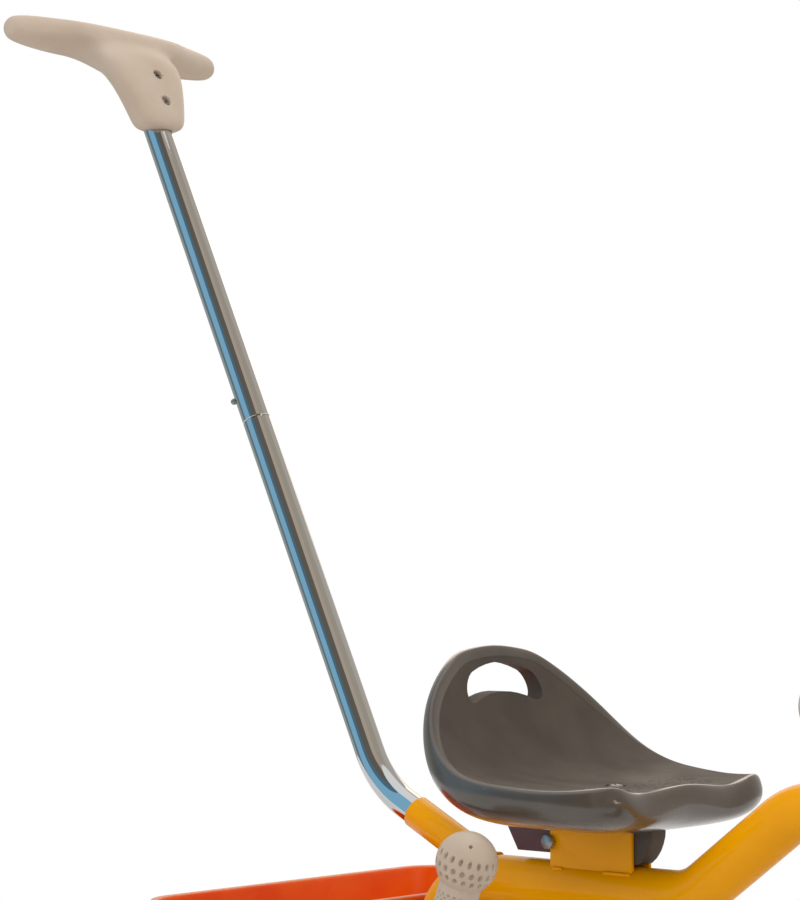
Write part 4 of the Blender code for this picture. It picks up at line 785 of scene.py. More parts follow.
def seat_cage():
    """The cage, and for each of its corners 1 on the top, 0.5 on the rim and 0 below."""
    shape = bmesh.new()
    top = []
    for rim, centre in list(zip(seat_rim, seat_centre))[1:-1]:
        middle = Vector((centre[0], 0, centre[1]))
        row = []
        for share in (-1.0, -0.66, 0.0, 0.66, 1.0):
            place = middle.lerp(Vector(rim), abs(share) ** 3)
            place.y = rim[1] * share
            row.append(shape.verts.new(place))
        top.append(row)
    top[0][2].co.z = seat_rim[0][2]
    top[-1][2].co.x = seat_rim[-1][0]
    for column in (1, 3):
        top[0][column].co.z = 0.431
        for row, dip in zip(top[-3:], thigh_dips):
            row[column].co.z -= dip
    for row, below in zip(top, top[1:]):
        for j in range(4):
            shape.faces.new((row[j], below[j], below[j + 1], row[j + 1]))
    shape.normal_update()
    bottom = []
    for row, depth in zip(top, seat_depth[1:-1]):
        under = [shape.verts.new(vert.co - vert.normal * depth) for vert in row]
        for vert in under:
            vert.co.y *= 0.93
        bottom.append(under)
    for row, below in zip(bottom, bottom[1:]):
        for j in range(4):
            shape.faces.new((row[j], row[j + 1], below[j + 1], below[j]))
    last = len(top) - 1
    order = [(0, j) for j in range(5)] + [(i, 4) for i in range(1, last + 1)]
    order += [(last, j) for j in range(3, -1, -1)] + [(i, 0) for i in range(last - 1, 0, -1)]
    above = [top[i][j] for i, j in order]
    below = [bottom[i][j] for i, j in order]
    middle = sum((vert.co for vert in above), Vector()) / len(order)
    ways = []
    for k, (high, low) in enumerate(zip(above, below)):
        run = above[(k + 1) % len(order)].co - above[k - 1].co
        ways.append((high.co - low.co).cross(run).normalized())
    if sum(way.dot(vert.co - middle) for way, vert in zip(ways, above)) < 0:
        ways = [-way for way in ways]
    rim = [
        shape.verts.new(high.co.lerp(low.co, 0.42) + way * 0.002)
        for high, low, way in zip(above, below, ways)
    ]
    for i in range(len(order)):
        j = (i + 1) % len(order)
        shape.faces.new((above[i], above[j], rim[j], rim[i]))
        shape.faces.new((rim[i], rim[j], below[j], below[i]))
    bmesh.ops.recalc_face_normals(shape, faces=shape.faces)
    shape.verts.index_update()
    side = [0.0] * len(shape.verts)
    for row in top:
        for vert in row:
            side[vert.index] = 1.0
    for vert in rim:
        side[vert.index] = 0.5
    mesh = mesh_from(shape, "seat_cage")
    mesh.attributes.new("side", "FLOAT", "POINT").data.foreach_set("value", side)
    mesh.transform(Matrix.Translation((rear_axle.x, 0, 0)))
    return mesh


seat = rounded_off(seat_cage(), 5)
places = np.empty(len(seat.vertices) * 3, np.float32)
seat.vertices.foreach_get("co", places)
places = places.reshape(-1, 3)
side = np.empty(len(seat.vertices), np.float32)
seat.attributes["side"].data.foreach_get("value", side)
rim_ring = places[np.abs(side - 0.5) < 0.002]
print("seat points:", len(places), "rim points:", len(rim_ring))

# %% [markdown]
# The moulding has a grab hole through its back, a well for the pan screw and a hollow underneath
# for the rail. These are cut with the Boolean modifier. Then each point of the seat is given two
# values that its material reads: how far it lies inside the rim, and how much stipple it has.


# %% The seat's holes and its measured values
def slab(name, loops, low_y, high_y, edge=0.0005, lift=None):
    """A flat plate in the XZ plane with rounded edges. Loops after the first are holes."""
    curve = bpy.data.curves.new(name, "CURVE")
    curve.dimensions = "2D"
    curve.fill_mode = "BOTH"
    curve.extrude = (high_y - low_y) / 2 - edge
    curve.bevel_depth = edge
    curve.bevel_resolution = 2
    curve.offset = -edge
    for loop in loops:
        spline = curve.splines.new("POLY")
        spline.points.add(len(loop) - 1)
        spline.use_cyclic_u = True
        for place, (x, z) in zip(spline.points, loop):
            place.co = (x, z, 0, 1)
    obj = loose(curve)
    if lift is None:
        lift = Matrix.Translation((rear_axle.x, (low_y + high_y) / 2, 0))
        lift = lift @ Matrix.Rotation(math.pi / 2, 4, "X")
    obj.matrix_world = lift
    return cleaned(bake(obj), 2e-6)


hole_loop = []
hole_y, hole_radius = 0.0315, 0.0105
for sign in (1, -1):
    for i in range(25):
        turn = math.pi * i / 24 - math.pi / 2
        y = sign * (hole_y + hole_radius * math.cos(turn))
        hole_loop.append((y, sign * hole_radius * math.sin(turn)))
    for share in (0.75, 0.5, 0.25, 0, -0.25, -0.5, -0.75):
        hole_loop.append((sign * hole_y * share, sign * hole_radius))
hole_loop = [(0.4115 + z - 0.011 * (y / 0.042) ** 2, y) for y, z in hole_loop]
upright = Matrix(((0, 0, 1), (0, 1, 0), (1, 0, 0))).to_4x4()
hole_place = Matrix.Translation(at(0.089, 0, 0)) @ upright
hole_cutter = slab("hole", [hole_loop], -0.04, 0.04, 0.0, hole_place)
screw_place = at(0.194, 0, 0.3375)
screw_well = rod(screw_place - up * 0.004, screw_place + up * 0.02, 0.0075, 64)
rail_space = bar(
    Matrix.Translation(at(0.173, 0, (0.290 + 0.3108) / 2)), (0.164, 0.0285, 0.0208)
)
seat = carve(seat, hole_cutter, screw_well, rail_space)
tree_all, tree_rim = KDTree(len(places)), KDTree(len(rim_ring))
for i, place in enumerate(places):
    tree_all.insert(place, i)
for i, place in enumerate(rim_ring):
    tree_rim.insert(place, i)
tree_hole = KDTree(len(hole_loop) * 8)
for i, (z, y) in enumerate(hole_loop):
    z2, y2 = hole_loop[(i + 1) % len(hole_loop)]
    for k in range(8):
        tree_hole.insert((y + (y2 - y) * k / 8, z + (z2 - z) * k / 8, 0), i * 8 + k)
for tree in (tree_all, tree_rim, tree_hole):
    tree.balance()
inner_mm = 20.0
edge_values, stipple_values = [], []
for vert in seat.vertices:
    nearest = tree_all.find(vert.co)[1]
    on_top = side[nearest] > 0.5
    edge = tree_rim.find(vert.co)[2] * 1000 if on_top else 0.0
    in_hole = vert.co.z > 0.395 and tree_hole.find((vert.co.y, vert.co.z, 0))[2] < 0.0006
    edge_values.append(inner_mm if in_hole else edge)
    oval = ((vert.co.x - rear_axle.x - 0.215) / 0.033) ** 2 + (vert.co.y / 0.078) ** 2
    stipple_values.append(min(1.0, max(0.0, (1.0 - oval) * 6)) if on_top else 0.0)
seat.attributes.new("edge_mm", "FLOAT", "POINT").data.foreach_set("value", edge_values)
seat.attributes.new("stipple", "FLOAT", "POINT").data.foreach_set("value", stipple_values)
piece("seat_moulding", smoothed(seat, 50), "seat_plastic", "sliding_seat", "seat_shell")
foot = at(0.194, 0, 0.2945)
screw = cross_screw(foot, up, 0.0058, 0.0027, 0.0025, 0.0450, 0.5)
piece("pan_screw", screw, "zinc_plate", "sliding_seat", "seat_screw")
print("seat points with holes:", len(seat.vertices), "deepest mm:", round(max(edge_values), 1))

# %% [markdown]
# ## Under the seat
# A moulded rail under the seat slides between two steel plates that are welded on the main tube.
# A bolt with a hexagon head clamps them. The plates are sheared from sheet, and their edges are
# a little rounded by the enamel. A tongue of the seat's own plastic closes the gap between the
# plates in front of the rail.


# %% Rail, plates and clamp bolt
def circle_loop(x, z, radius, count=32):
    turns = [2 * math.pi * i / count for i in range(count)]
    return [(x + radius * math.cos(t), z + radius * math.sin(t)) for t in turns]


def belt(circles, count=64):
    """The outline that a belt round some circles takes."""
    points = sorted(point for each in circles for point in circle_loop(*each, count))
    halves = []
    for row in (points, points[::-1]):
        chain = []
        for point in row:
            while len(chain) > 1:
                (ax, az), (bx, bz) = chain[-2:]
                if (bx - ax) * (point[1] - az) - (bz - az) * (point[0] - ax) > 1e-12:
                    break
                chain.pop()
            chain.append(point)
        halves += chain[:-1]
    return halves


def hex_head(start, way, radius, height):
    """A hexagon whose outer corners are turned down, as on a pressed bolt head or nut."""
    dome = [
        (0, 0),
        (radius * 0.80, 0),
        (radius * 0.92, height * 0.12),
        (radius * 1.02, height * 0.38),
        (radius * 1.02, height),
        (0, height),
    ]
    prism = rod(start - way * 0.0005, start + way * (height + 0.0005), radius, 6)
    return carve(turned("dome", start, start + way, dome, 48), prism, operation="INTERSECT")


def threaded(start, way, radius, length, pitch=0.001):
    """A rod with a fine thread, drawn as rings, and a chamfered tip."""
    rings = int(length / pitch)
    profile = [(0, 0), (radius, 0)]
    for i in range(rings):
        profile += [(radius, (i + 0.2) * pitch), (radius * 0.9, (i + 0.7) * pitch)]
    profile += [(radius * 0.8, length), (0, length)]
    return turned("thread", start, start + way, profile, 32)


def hex_bolt(name, start, length, node):
    """A bolt that points to the rider's left. Its thread starts 2 mm inside the head."""
    thread = threaded(start + left * 0.002, left, 0.003, length)
    bolt = merged(hex_head(start, left, *hex_size), thread)
    piece(name, bolt, "zinc_plate", "frame", node)


def hex_nut(name, start, node):
    piece(name, hex_head(start, -left, *hex_size), "zinc_plate", "frame", node)


hex_size = (0.0055, 0.004)
clamp_x, clamp_z = 0.145, 0.2975
plate_foot, plate_top, plate_front = low_run, 0.3085, 0.216
weld_y, weld_radius = 0.0125, 0.0183
notch_turns = [math.radians(90 - 180 / 16 * i) for i in range(17)]
notch = [
    (clamp_x + bolt_bore * math.cos(t), clamp_z + bolt_bore * math.sin(t)) for t in notch_turns
]
plate_outline = [(plate_front, plate_foot), (plate_front, plate_top), (clamp_x, plate_top)]
plate_outline += [*notch, (clamp_x, plate_foot)]
for name, sign in SIDES:
    low_y, high_y = sorted((sign * 0.00855, sign * 0.01155))
    sheet = slab("sheet", [plate_outline], low_y, high_y, sheet_edge)
    sheet = carve(sheet, rod(at(0.12, 0, low_run), at(0.24, 0, low_run), weld_radius, 96))
    piece("seat_cheek_" + name, sheet, "yellow_enamel", "frame", "seat_plate_" + name)
    y, z = sign * weld_y, low_run + math.sqrt(weld_radius**2 - weld_y**2)
    bead("cheek_weld_rear_" + name, [at(0.148, y, z), at(0.157, y, z)], 0.0013)
    bead("cheek_weld_front_" + name, [at(0.192, y, z), at(0.2155, y, z)], 0.0013)
slot = belt([(clamp_x, clamp_z, bolt_bore), (0.165, clamp_z, bolt_bore)], 32)
rail_outline = [(0.2035, 0.2895), (0.2035, 0.3105), (0.101, 0.3105), (0.113, 0.2895)]
rail_half, rail_edge = 0.00825, 0.0009
rail = slab("rail", [rail_outline, slot], -rail_half, rail_half, rail_edge)
piece("slide_rail", rail, "maroon_plastic", "sliding_seat", "seat_rail")
tongue_outline = [(0.2038, 0.3105), (0.2038, 0.2875), (0.2160, 0.2858), (0.2195, 0.2865)]
tongue_outline += [(0.2235, 0.2900), (0.2270, 0.2950), (0.2292, 0.3000), (0.2306, 0.3050)]
tongue_outline += [(0.2310, 0.3105)]
tongue = slab("tongue", [tongue_outline], -rail_half, rail_half, rail_edge)
satin = [inner_mm] * len(tongue.vertices)
tongue.attributes.new("edge_mm", "FLOAT", "POINT").data.foreach_set("value", satin)
piece("seat_tongue_fine", tongue, "seat_plastic", "sliding_seat", "seat_tongue")
hex_bolt("rail_clamp_bolt", at(clamp_x, -0.01585, clamp_z), 0.0337, "seat_clamp_bolt")
hex_nut("rail_clamp_nut", at(clamp_x, 0.01585, clamp_z), "seat_clamp_nut")

# %% [markdown]
# ## Dimpled ball grips
# The brake lever and the handlebar end in moulded grips: a ball on a stem. For a sure hold the
# mould leaves three rows of oval dimples round the ball and small dots all over the stem. The
# lathe helper presses them in with a relief function, so they are real hollows in the mesh.


# %% Ball grips
def smooth_step(value, low, high):
    share = np.clip((value - low) / (high - low), 0, 1)
    return share * share * (3 - 2 * share)


ball_radius, stem_radius, grip_length, dots_start = 0.0205, 0.0140, 0.092, 0.020
dimple_rows = ((76, 4.5, 5.4, 2.8), (97, -5.0, 4.6, 3.6), (115, 1.4, 4.3, 3.0))


def grip_relief(turn, radius, distance):
    """Depth of the dimples. The polar angle runs from the ball's top, distance from its middle."""
    psi = -np.degrees(turn)
    theta = np.degrees(np.arctan2(radius, -distance))
    on_ball = (distance < 0.0155) * (radius > 0)
    depth = np.zeros_like(radius)
    for row, phase, tall, wide in dimple_rows:
        aside = (psi - phase + 9) % 18 - 9
        along = np.radians(theta - row) * ball_radius * 1000
        beside = np.radians(aside) * radius * 1000
        share = np.sqrt((along / (tall / 2)) ** 2 + (beside / (wide / 2)) ** 2)
        deeper = 1.15 - 0.25 * np.clip(along / tall * 2, -1, 1)
        depth = np.maximum(depth, on_ball * 0.0021 * deeper * smooth_step(-share, -1.06, -0.5))
    aside = (psi + 4 + 180) % 360 - 180
    away = np.hypot(theta - 41, aside * np.sin(np.radians(theta))) * np.radians(1) * ball_radius
    depth = np.maximum(depth, on_ball * 0.0022 * smooth_step(-away, -0.0013, -0.0009))
    rows_down = (distance - dots_start) / 0.0023
    row = np.floor(rows_down)
    along = rows_down % 1 - 0.5
    beside = (psi / 18 + 0.5 * (row % 2)) % 1 - 0.5
    share = np.hypot(along * 2.3 / 0.9, beside * 4.4 / 1.45)
    on_stem = (distance > dots_start) * (distance < grip_length - 0.010)
    return np.maximum(depth, on_stem * 0.0011 * smooth_step(-share, -1.1, -0.5))


def ball_grip(name, ball, towards, bore_radius, body, node, face, steps, fineness):
    neck = math.pi - math.asin(stem_radius / ball_radius)
    arc = round(ball_radius * neck / (0.0006 * fineness))
    turns = np.linspace(0, neck, arc)
    profile = [(ball_radius * math.sin(t), -ball_radius * math.cos(t)) for t in turns]
    blend_start = profile[-1][1]
    count = round((grip_length - 0.006 - blend_start) / (0.0004 * fineness))
    profile += [(stem_radius, h) for h in np.linspace(blend_start, grip_length - 0.006, count)[1:]]
    flare = [(0.0146, 0.0055), (0.0156, 0.0045), (0.0160, 0.0035), (0.0160, 0.0006)]
    profile += [(r, grip_length - h) for r, h in flare]
    profile += [(0.0154, grip_length), (bore_radius, grip_length), (bore_radius, 0.0)]
    profile += [(0.0, 0.0)]
    mesh = turned(name, ball, towards, profile, steps, grip_relief, face)
    return piece(name, mesh, "cream_plastic", body, node)


brake_lean = math.radians(20.4)
brake_way = Vector((math.sin(brake_lean), 0, math.cos(brake_lean)))
brake_side, brake_high = 0.145, 0.2962
brake_ball = at(0.1819, -brake_side, brake_high)
brake_pivot = brake_ball - brake_way * (brake_high - axle_high) / brake_way.z
to_camera = Vector((0.667, -0.745, 0))
settings = (0.0053, "hand_brake", "brake_grip", to_camera, 220, 1.0)
ball_grip("brake_ball_grip", brake_ball, brake_pivot, *settings)
steer_high = front_axle + steer_way * 0.330
bar_corners = []
for name, sign in SIDES:
    ball = steer_high + Vector((-0.0132, 0.200 * sign, -0.0417))
    crest = steer_high + Vector((0.030, 0.118 * sign, 0.022))
    inner = steer_high + left * 0.048 * sign
    bar_corners += [ball, crest, inner][::sign]
    settings = (0.0103, "steering", "handlebar_grip_" + name, (0, 0, 1), 160, 1.5)
    ball_grip("hand_grip_" + name, ball, crest, *settings)
bar_line = bent_path(bar_corners, [0.026] * 4, 4)
steering_bar = swept("bar", closed_ends(bar_line, 0.010), 48)
piece("steering_bar", steering_bar, "chrome_plate", "steering", "handlebar_tube")
print("brake ball to pivot mm:", round((brake_ball - brake_pivot).length * 1000))

# %% [markdown]
# ## The bucket
# The tub is one injection moulding: sloping walls, rounded corners and a rolled lip that stiffens
# the rim. It is drawn as a stack of rounded rectangles that follow the wall's section, first up
# the inside, over the lip, then down the outside and under the floor. Its plastic is the orange
# one, and the top face of its lip carries a painted highlight: a paler colour, broken into patches.


# %% Bucket
tub_floor, tub_front = 0.1635, 0.0115
tub_lean = 0.100 / math.tan(math.radians(75))


def tub_ring(height, out, count=10):
    """One rounded rectangle of the tub's wall at a height, moved outwards by an amount."""
    rise = min(1.0, max(0.0, (height - tub_floor) / (0.250 - tub_floor)))
    rear = -0.104 - 0.011 * rise - out
    front = tub_front - tub_lean * (1 - rise) + out
    half = 0.149 + 0.011 * rise + out
    corner = max(0.004, 0.030 + out)
    ring = []
    middles = (
        (front - corner, half - corner),
        (rear + corner, half - corner),
        (rear + corner, corner - half),
        (front - corner, corner - half),
    )
    for quarter, (x, y) in enumerate(middles):
        for i in range(count + 1):
            turn = math.pi / 2 * (quarter + i / count)
            ring.append(at(x + corner * math.cos(turn), y + corner * math.sin(turn), height))
    return ring


def quarter_arc(x, z, radius, first, last, count=6):
    """Points on an arc, from the first angle to the last in degrees."""
    turns = np.radians(np.linspace(first, last, count + 1))
    return [(x + radius * math.cos(t), z + radius * math.sin(t)) for t in turns]


tub_section = [(-0.010, 0.1535), *quarter_arc(-0.010, tub_floor, 0.010, -80, 0)]
tub_section += [(0.0, z) for z in np.linspace(0.170, 0.245, 8)]
tub_section += quarter_arc(0.0025, 0.2475, 0.0025, 180, 90)
tub_section += quarter_arc(0.0040, 0.2470, 0.0030, 90, 0)
tub_section += [(0.0070, 0.2430), (0.0066, 0.2421), (0.0058, 0.2420), (0.0036, 0.2420)]
tub_section += [(0.0035, z) for z in np.linspace(0.2400, 0.1650, 8)]
tub_section += quarter_arc(-0.010, tub_floor, 0.0135, 0, -90)
tub_rings = [tub_ring(height, out) for out, height in tub_section]
tub_points = [point for ring in tub_rings for point in ring]
steps_round = len(tub_rings[0])
tub_faces = ring_faces(len(tub_rings), steps_round)
tub_faces += [range(steps_round), range(len(tub_points) - steps_round, len(tub_points))]
tub = finish_mesh("tub", tub_points, tub_faces, 1e-6)
bucket = piece("sand_bucket", tub, "orange_plastic", "tipping_bucket", "bucket")
tub_finish = orange.copy()
tub_finish.name = "orange_tub_plastic"
tree = tub_finish.node_tree
base = tree.nodes["Principled BSDF"].inputs["Base Color"]
place = tree.nodes["Texture Coordinate"].outputs["Object"]
height = add_node(tree, "SeparateXYZ", {"Vector": place}).outputs["Z"]
# Painted highlight: the top face of the lip is painted pale, broken into patches by noise.
lip_top_highlight_mask = add_node(tree, "MapRange", {"Value": height, "From Min": 0.2488, "From Max": 0.2496})
highlight_patches = between(tree, blotches(tree, place, 5, 5, 0.3, 0.7), 0.45, 0.85)
share = add_node(tree, "Math", {0: lip_top_highlight_mask.outputs[0], 1: highlight_patches}, operation="MULTIPLY")
lip_painted_highlight = blend_colours(tree, share.outputs[0], base.links[0].from_socket, linear("D9A084"))
tree.links.new(lip_painted_highlight, base)
bucket.data.materials[0] = tub_finish
pin_x, pin_z = -0.098, 0.1428
bucket_pin = at(pin_x, 0, pin_z)
pin_loop = circle_loop(pin_x, pin_z, bolt_bore)
for name, sign in SIDES:
    low_y, high_y = sorted((sign * 0.0575, sign * 0.0625))
    outline = belt([(pin_x, pin_z, 0.0069), (pin_x, 0.1480, 0.0069)], 48)
    outline = [(x, min(z, 0.1515)) for x, z in outline]
    ear = slab("ear", [outline, pin_loop], low_y, high_y, sheet_edge)
    piece("bucket_ear_" + name, ear, "orange_plastic", "tipping_bucket")
print("bucket rings:", len(tub_rings), "points round:", steps_round)

# %% [markdown]
# ## Brackets and the brake
# Laser-cut plates on the axle tube carry the bucket's pin and the brake lever's bolt. The lever
# is a bar with an eye, and an arm that pushes a moulded shoe against the right tyre.

# %% Brackets, pin, lever and shoe
axle_hole = circle_loop(0, axle_high, axle_tube_bore, 48)
rest_x = tub_front - tub_lean - 0.010
hull = [(0, axle_high, 0.019), (pin_x, pin_z, 0.006), (rest_x - 0.0075, 0.1422, 0.0075)]
for name, sign in SIDES:
    low_y, high_y = sorted((sign * 0.0635, sign * 0.0675))
    loops = [belt(hull), axle_hole, pin_loop]
    sheet = slab("bracket", loops, low_y, high_y, sheet_edge)
    piece("tub_bracket_" + name, sheet, "yellow_enamel", "frame", "bucket_bracket_" + name)
    round_tube = [(0.0152 * math.cos(t), axle_high + 0.0152 * math.sin(t)) for t in full_turn]
    ring = [at(x, sign * 0.0630, z) for x, z in round_tube]
    bead("tub_bracket_weld_" + name, ring, 0.0016)
pin_start = bucket_pin - left * 0.0708
pin_profile = [
    (0, 0),
    (0.0036, 0),
    (0.0045, 0.0008),
    (0.0045, 0.0030),
    (0.0030, 0.0030),
    (0.0030, 0.1386),
    (0.0045, 0.1386),
    (0.0045, 0.1408),
    (0.0036, 0.1416),
    (0, 0.1416),
]
pin = (pin_start, left, pin_profile, 40)
turned_piece("tub_hinge_pin", *pin, "zinc_plate", "frame", "bucket_hinge_pin")

brake_x = brake_pivot.x - rear_axle.x
bracket_hull = [(0, axle_high, 0.020), (brake_x, axle_high, 0.010)]
loops = [belt(bracket_hull), axle_hole, circle_loop(brake_x, axle_high, bolt_bore)]
sheet = slab("brake_plate", loops, -0.1385, -0.1345, sheet_edge)
piece("brake_plate", sheet, "yellow_enamel", "frame", "brake_bracket")
arm_root = brake_pivot + brake_way * 0.032
arm_end = arm_root - left * (half_track + 0.015 - brake_side + 0.004)
bar_tip = brake_ball - brake_way * 0.0003
lever_bars = []
for start, end in ((brake_pivot, bar_tip), (arm_root, arm_end)):
    length = (end - start).length
    profile = [(0, 0), (0.005, 0), (0.005, length - 0.0008), (0.0042, length), (0, length)]
    lever_bars.append(turned("bar", start, end, profile, 40))
eye_profile = [(0.0033, 0), (0.0094, 0), (0.0100, 0.0006), (0.0100, 0.0094), (0.0094, 0.0100)]
eye_profile += [(0.0033, 0.0100), (0.0033, 0)]
eye_start = brake_pivot - left * 0.005
eye = turned("eye", eye_start, eye_start + left, eye_profile, 56)
lever = carve(lever_bars[0], rod(eye_start - left * 0.01, eye_start + left * 0.02, 0.0090, 40))
lever = merged(lever, lever_bars[1], eye)
piece("brake_lever_bar", lever, "zinc_plate", "hand_brake", "brake_lever")
reach = math.hypot(arm_root.x - rear_axle.x, arm_root.z - axle_high)
aim = math.degrees(math.atan2(arm_root.z - axle_high, arm_root.x - rear_axle.x))
shoe_face = 0.1039
outline = quarter_arc(0, axle_high, shoe_face, aim + 9, aim - 9, 24)
outline += quarter_arc(0, axle_high, reach + 0.009, aim - 6, aim + 6, 8)
hole = circle_loop(arm_root.x - rear_axle.x, arm_root.z, 0.0053)
shoe = slab("shoe", [outline, hole], -0.220, -0.190, 0.0010)
piece("brake_block", shoe, "seat_plastic", "hand_brake", "brake_shoe")
hex_bolt("lever_bolt", brake_pivot - left * 0.0093, 0.0241, "brake_pivot_bolt")
hex_nut("lever_nut", Vector((brake_pivot.x, -0.1302, axle_high)), "brake_pivot_nut")
print("lever reach mm:", round(reach * 1000, 1))

# %% [markdown]
# ## Wheels and tyres
# Each wheel is a cream moulding with a rim band, a dished web with hollow pockets and a hub. Its
# tyre is a moulded band with rounded shoulders, a groove round the middle and slanted grooves
# across. Both are turned shapes with many points, and their relief is pressed inwards.


# %% Wheels and tyres
def dense(profile, step):
    """The same section with points no further apart than the step."""
    points = [profile[0]]
    for (r1, h1), (r2, h2) in zip(profile, profile[1:]):
        count = max(1, math.ceil(math.hypot(r2 - r1, h2 - h1) / step))
        for i in range(1, count + 1):
            points.append((r1 + (r2 - r1) * i / count, h1 + (h2 - h1) * i / count))
    return points


def tread_relief(tyre_radius, half, blocks):
    def relief(turn, radius, distance):
        across = np.abs(distance) / half
        lean = turn * blocks / (2 * math.pi) + 0.5 * (distance > 0) + 0.3 * across
        edge = np.abs(lean % 1 - 0.5) * 2
        cross = smooth_step(edge, 0.72, 0.86) * smooth_step(across, 0.10, 0.16)
        wave = distance / half + 0.07 * np.sin(turn * blocks)
        centre = smooth_step(-np.abs(wave), -0.13, -0.07)
        on_band = smooth_step(radius, tyre_radius - 0.009, tyre_radius - 0.006)
        return 0.0016 * np.maximum(cross, centre) * on_band

    return relief


def pocket_relief(inner, outer, count):
    def relief(turn, radius, distance):
        middle = (inner + outer) / 2
        beside = np.abs((turn * count / (2 * math.pi)) % 1 - 0.5) * 2 * math.pi * radius / count
        rib = smooth_step(beside, 0.0035, 0.006)
        edge = 1 - np.abs(radius - middle) / (outer - inner) * 2
        ring = smooth_step(edge * (outer - inner) / 2, 0.0005, 0.004)
        return 0.0022 * rib * ring * (np.abs(distance) < 0.013)

    return relief


def add_wheel(label, centre, radius, width, hub_half, hole, blocks, body, tyre_node, wheel_node):
    half = width / 2
    shoulder = quarter_arc(radius - 0.010, 0, 0.010, 90, 0, 8)
    right_side = [(r, z + half - 0.010) for r, z in shoulder]
    section = [(radius - 0.017, -half), *[(r, -z) for r, z in right_side]]
    section += [*right_side[::-1], (radius - 0.017, half), (radius - 0.017, -half)]
    section = dense(section, 0.0012)
    relief = tread_relief(radius, half, blocks)
    tyre = turned("tyre", centre, centre + left, section, 12 * blocks, relief)
    piece("tyre_" + label, tyre, "tyre_rubber", body, tyre_node)
    outside = radius - 0.0173
    inside = outside - 0.007
    slope = inside - 0.007
    rim_half = half - 0.002
    upper = [
        (hole, -hub_half),
        (0.0185, -hub_half),
        (0.0190, -hub_half + 0.0006),
        (0.021, -0.0050),
        (0.0225, -0.0035),
        (slope - 0.001, -0.0035),
        (slope + 0.001, -0.0045),
        (inside - 0.0006, -rim_half + 0.0015),
        (inside + 0.0006, -rim_half),
        (outside - 0.0008, -rim_half),
        (outside, -rim_half + 0.0008),
    ]
    section = upper + [(r, -h) for r, h in reversed(upper)] + [upper[0]]
    relief = pocket_relief(0.026, slope - 0.002, 10)
    wheel = turned("wheel", centre, centre + left, dense(section, 0.0013), 240, relief)
    piece("wheel_" + label, wheel, "cream_plastic", body, wheel_node)


for name, sign in SIDES:
    centre = rear_axle + left * half_track * sign
    sizes = (0.100, 0.038, 0.022, 0.0053, 36)
    nodes_there = ("rear_tyre_" + name, "rear_wheel_" + name)
    add_wheel("rear_" + name, centre, *sizes, name + "_wheel", *nodes_there)
    way = left * sign
    start = centre + way * 0.0223
    outer = [(0.019 * math.cos(t), 0.013 * math.sin(t)) for t in np.radians(np.linspace(0, 90, 14))]
    inner = [(0.017 * math.cos(t), 0.011 * math.sin(t)) for t in np.radians(np.linspace(90, 0, 8))]
    cap = (start, way, [*outer, *inner, outer[0]], 64)
    riding = (name + "_wheel", "hub_cap_" + name)
    turned_piece("wheel_cap_" + name, *cap, "orange_plastic", *riding)
sizes = (0.130, 0.042, 0.026, 0.0063, 44)
add_wheel("front", front_axle, *sizes, "driven_wheel", "front_tyre", "front_wheel")

# %% [markdown]
# ## Fork, cranks and pedals
# The fork is one bent bar with the steerer on top and an eye at each end. The cranked axle is
# another bent bar, and the front wheel is fixed on it, so the pedals drive the wheel directly.
# A pedal is a ribbed block that turns freely on its end of the crank.

# %% Fork, crank and pedals
leg_y, eye_y = 0.038, 0.0275
arch = [
    front_axle + steer_way * (0.112 + leg_y * math.sin(t)) - left * leg_y * math.cos(t)
    for t in np.radians(np.linspace(0, 180, 40))
]
leg_line = [front_axle - left * leg_y, *arch, front_axle + left * leg_y]
legs = swept("legs", closed_ends(leg_line, 0.010), 40)
steerer_start = front_axle + steer_way * 0.150
steerer_profile = [(0, 0), (0.011, 0), (0.011, 0.1662), (0.0102, 0.167), (0, 0.167)]
parts = [legs, turned("steerer", steerer_start, steerer_start + steer_way, steerer_profile, 48)]
bearing = rod(front_axle - left * 0.06, front_axle + left * 0.06, 0.0091, 48)
for sign in (1, -1):
    start = front_axle + left * eye_y * sign
    profile = [(0, 0), (0.0143, 0), (0.015, 0.0007), (0.015, 0.0203), (0.0143, 0.021), (0, 0.021)]
    parts.append(turned("eye", start, start + left * sign, profile, 56))
fork = parts[0]
for other in parts[1:]:
    fork = carve(fork, other, operation="UNION")
piece("steering_fork", carve(fork, bearing), "yellow_enamel", "steering", "fork")

crank_turn, crank_y, crank_tip = math.radians(25), 0.060, 0.163
crank_way = Vector((math.cos(crank_turn), 0, math.sin(crank_turn))) * 0.078
crank_corners = [
    front_axle + crank_way + left * crank_tip,
    front_axle + crank_way + left * crank_y,
    front_axle + left * crank_y,
    front_axle - left * crank_y,
    front_axle - crank_way - left * crank_y,
    front_axle - crank_way - left * crank_tip,
]
crank_line = bent_path(crank_corners, [0.009] * 4, 8)
crank = swept("crank", closed_ends(crank_line, 0.006), 32)
piece("cranked_axle", crank, "zinc_plate", "driven_wheel", "crank_axle")


def block(low, high, edge, segments):
    shape = bmesh.new()
    middle = Matrix.Translation((low + high) / 2)
    bmesh.ops.create_cube(shape, size=1, matrix=middle @ Matrix.Diagonal((*(high - low), 1)))
    sizes = {"offset": edge, "segments": segments, "profile": 0.5, "affect": "EDGES"}
    bmesh.ops.bevel(shape, geom=shape.edges[:], **sizes)
    return smoothed(mesh_from(shape, "block"))


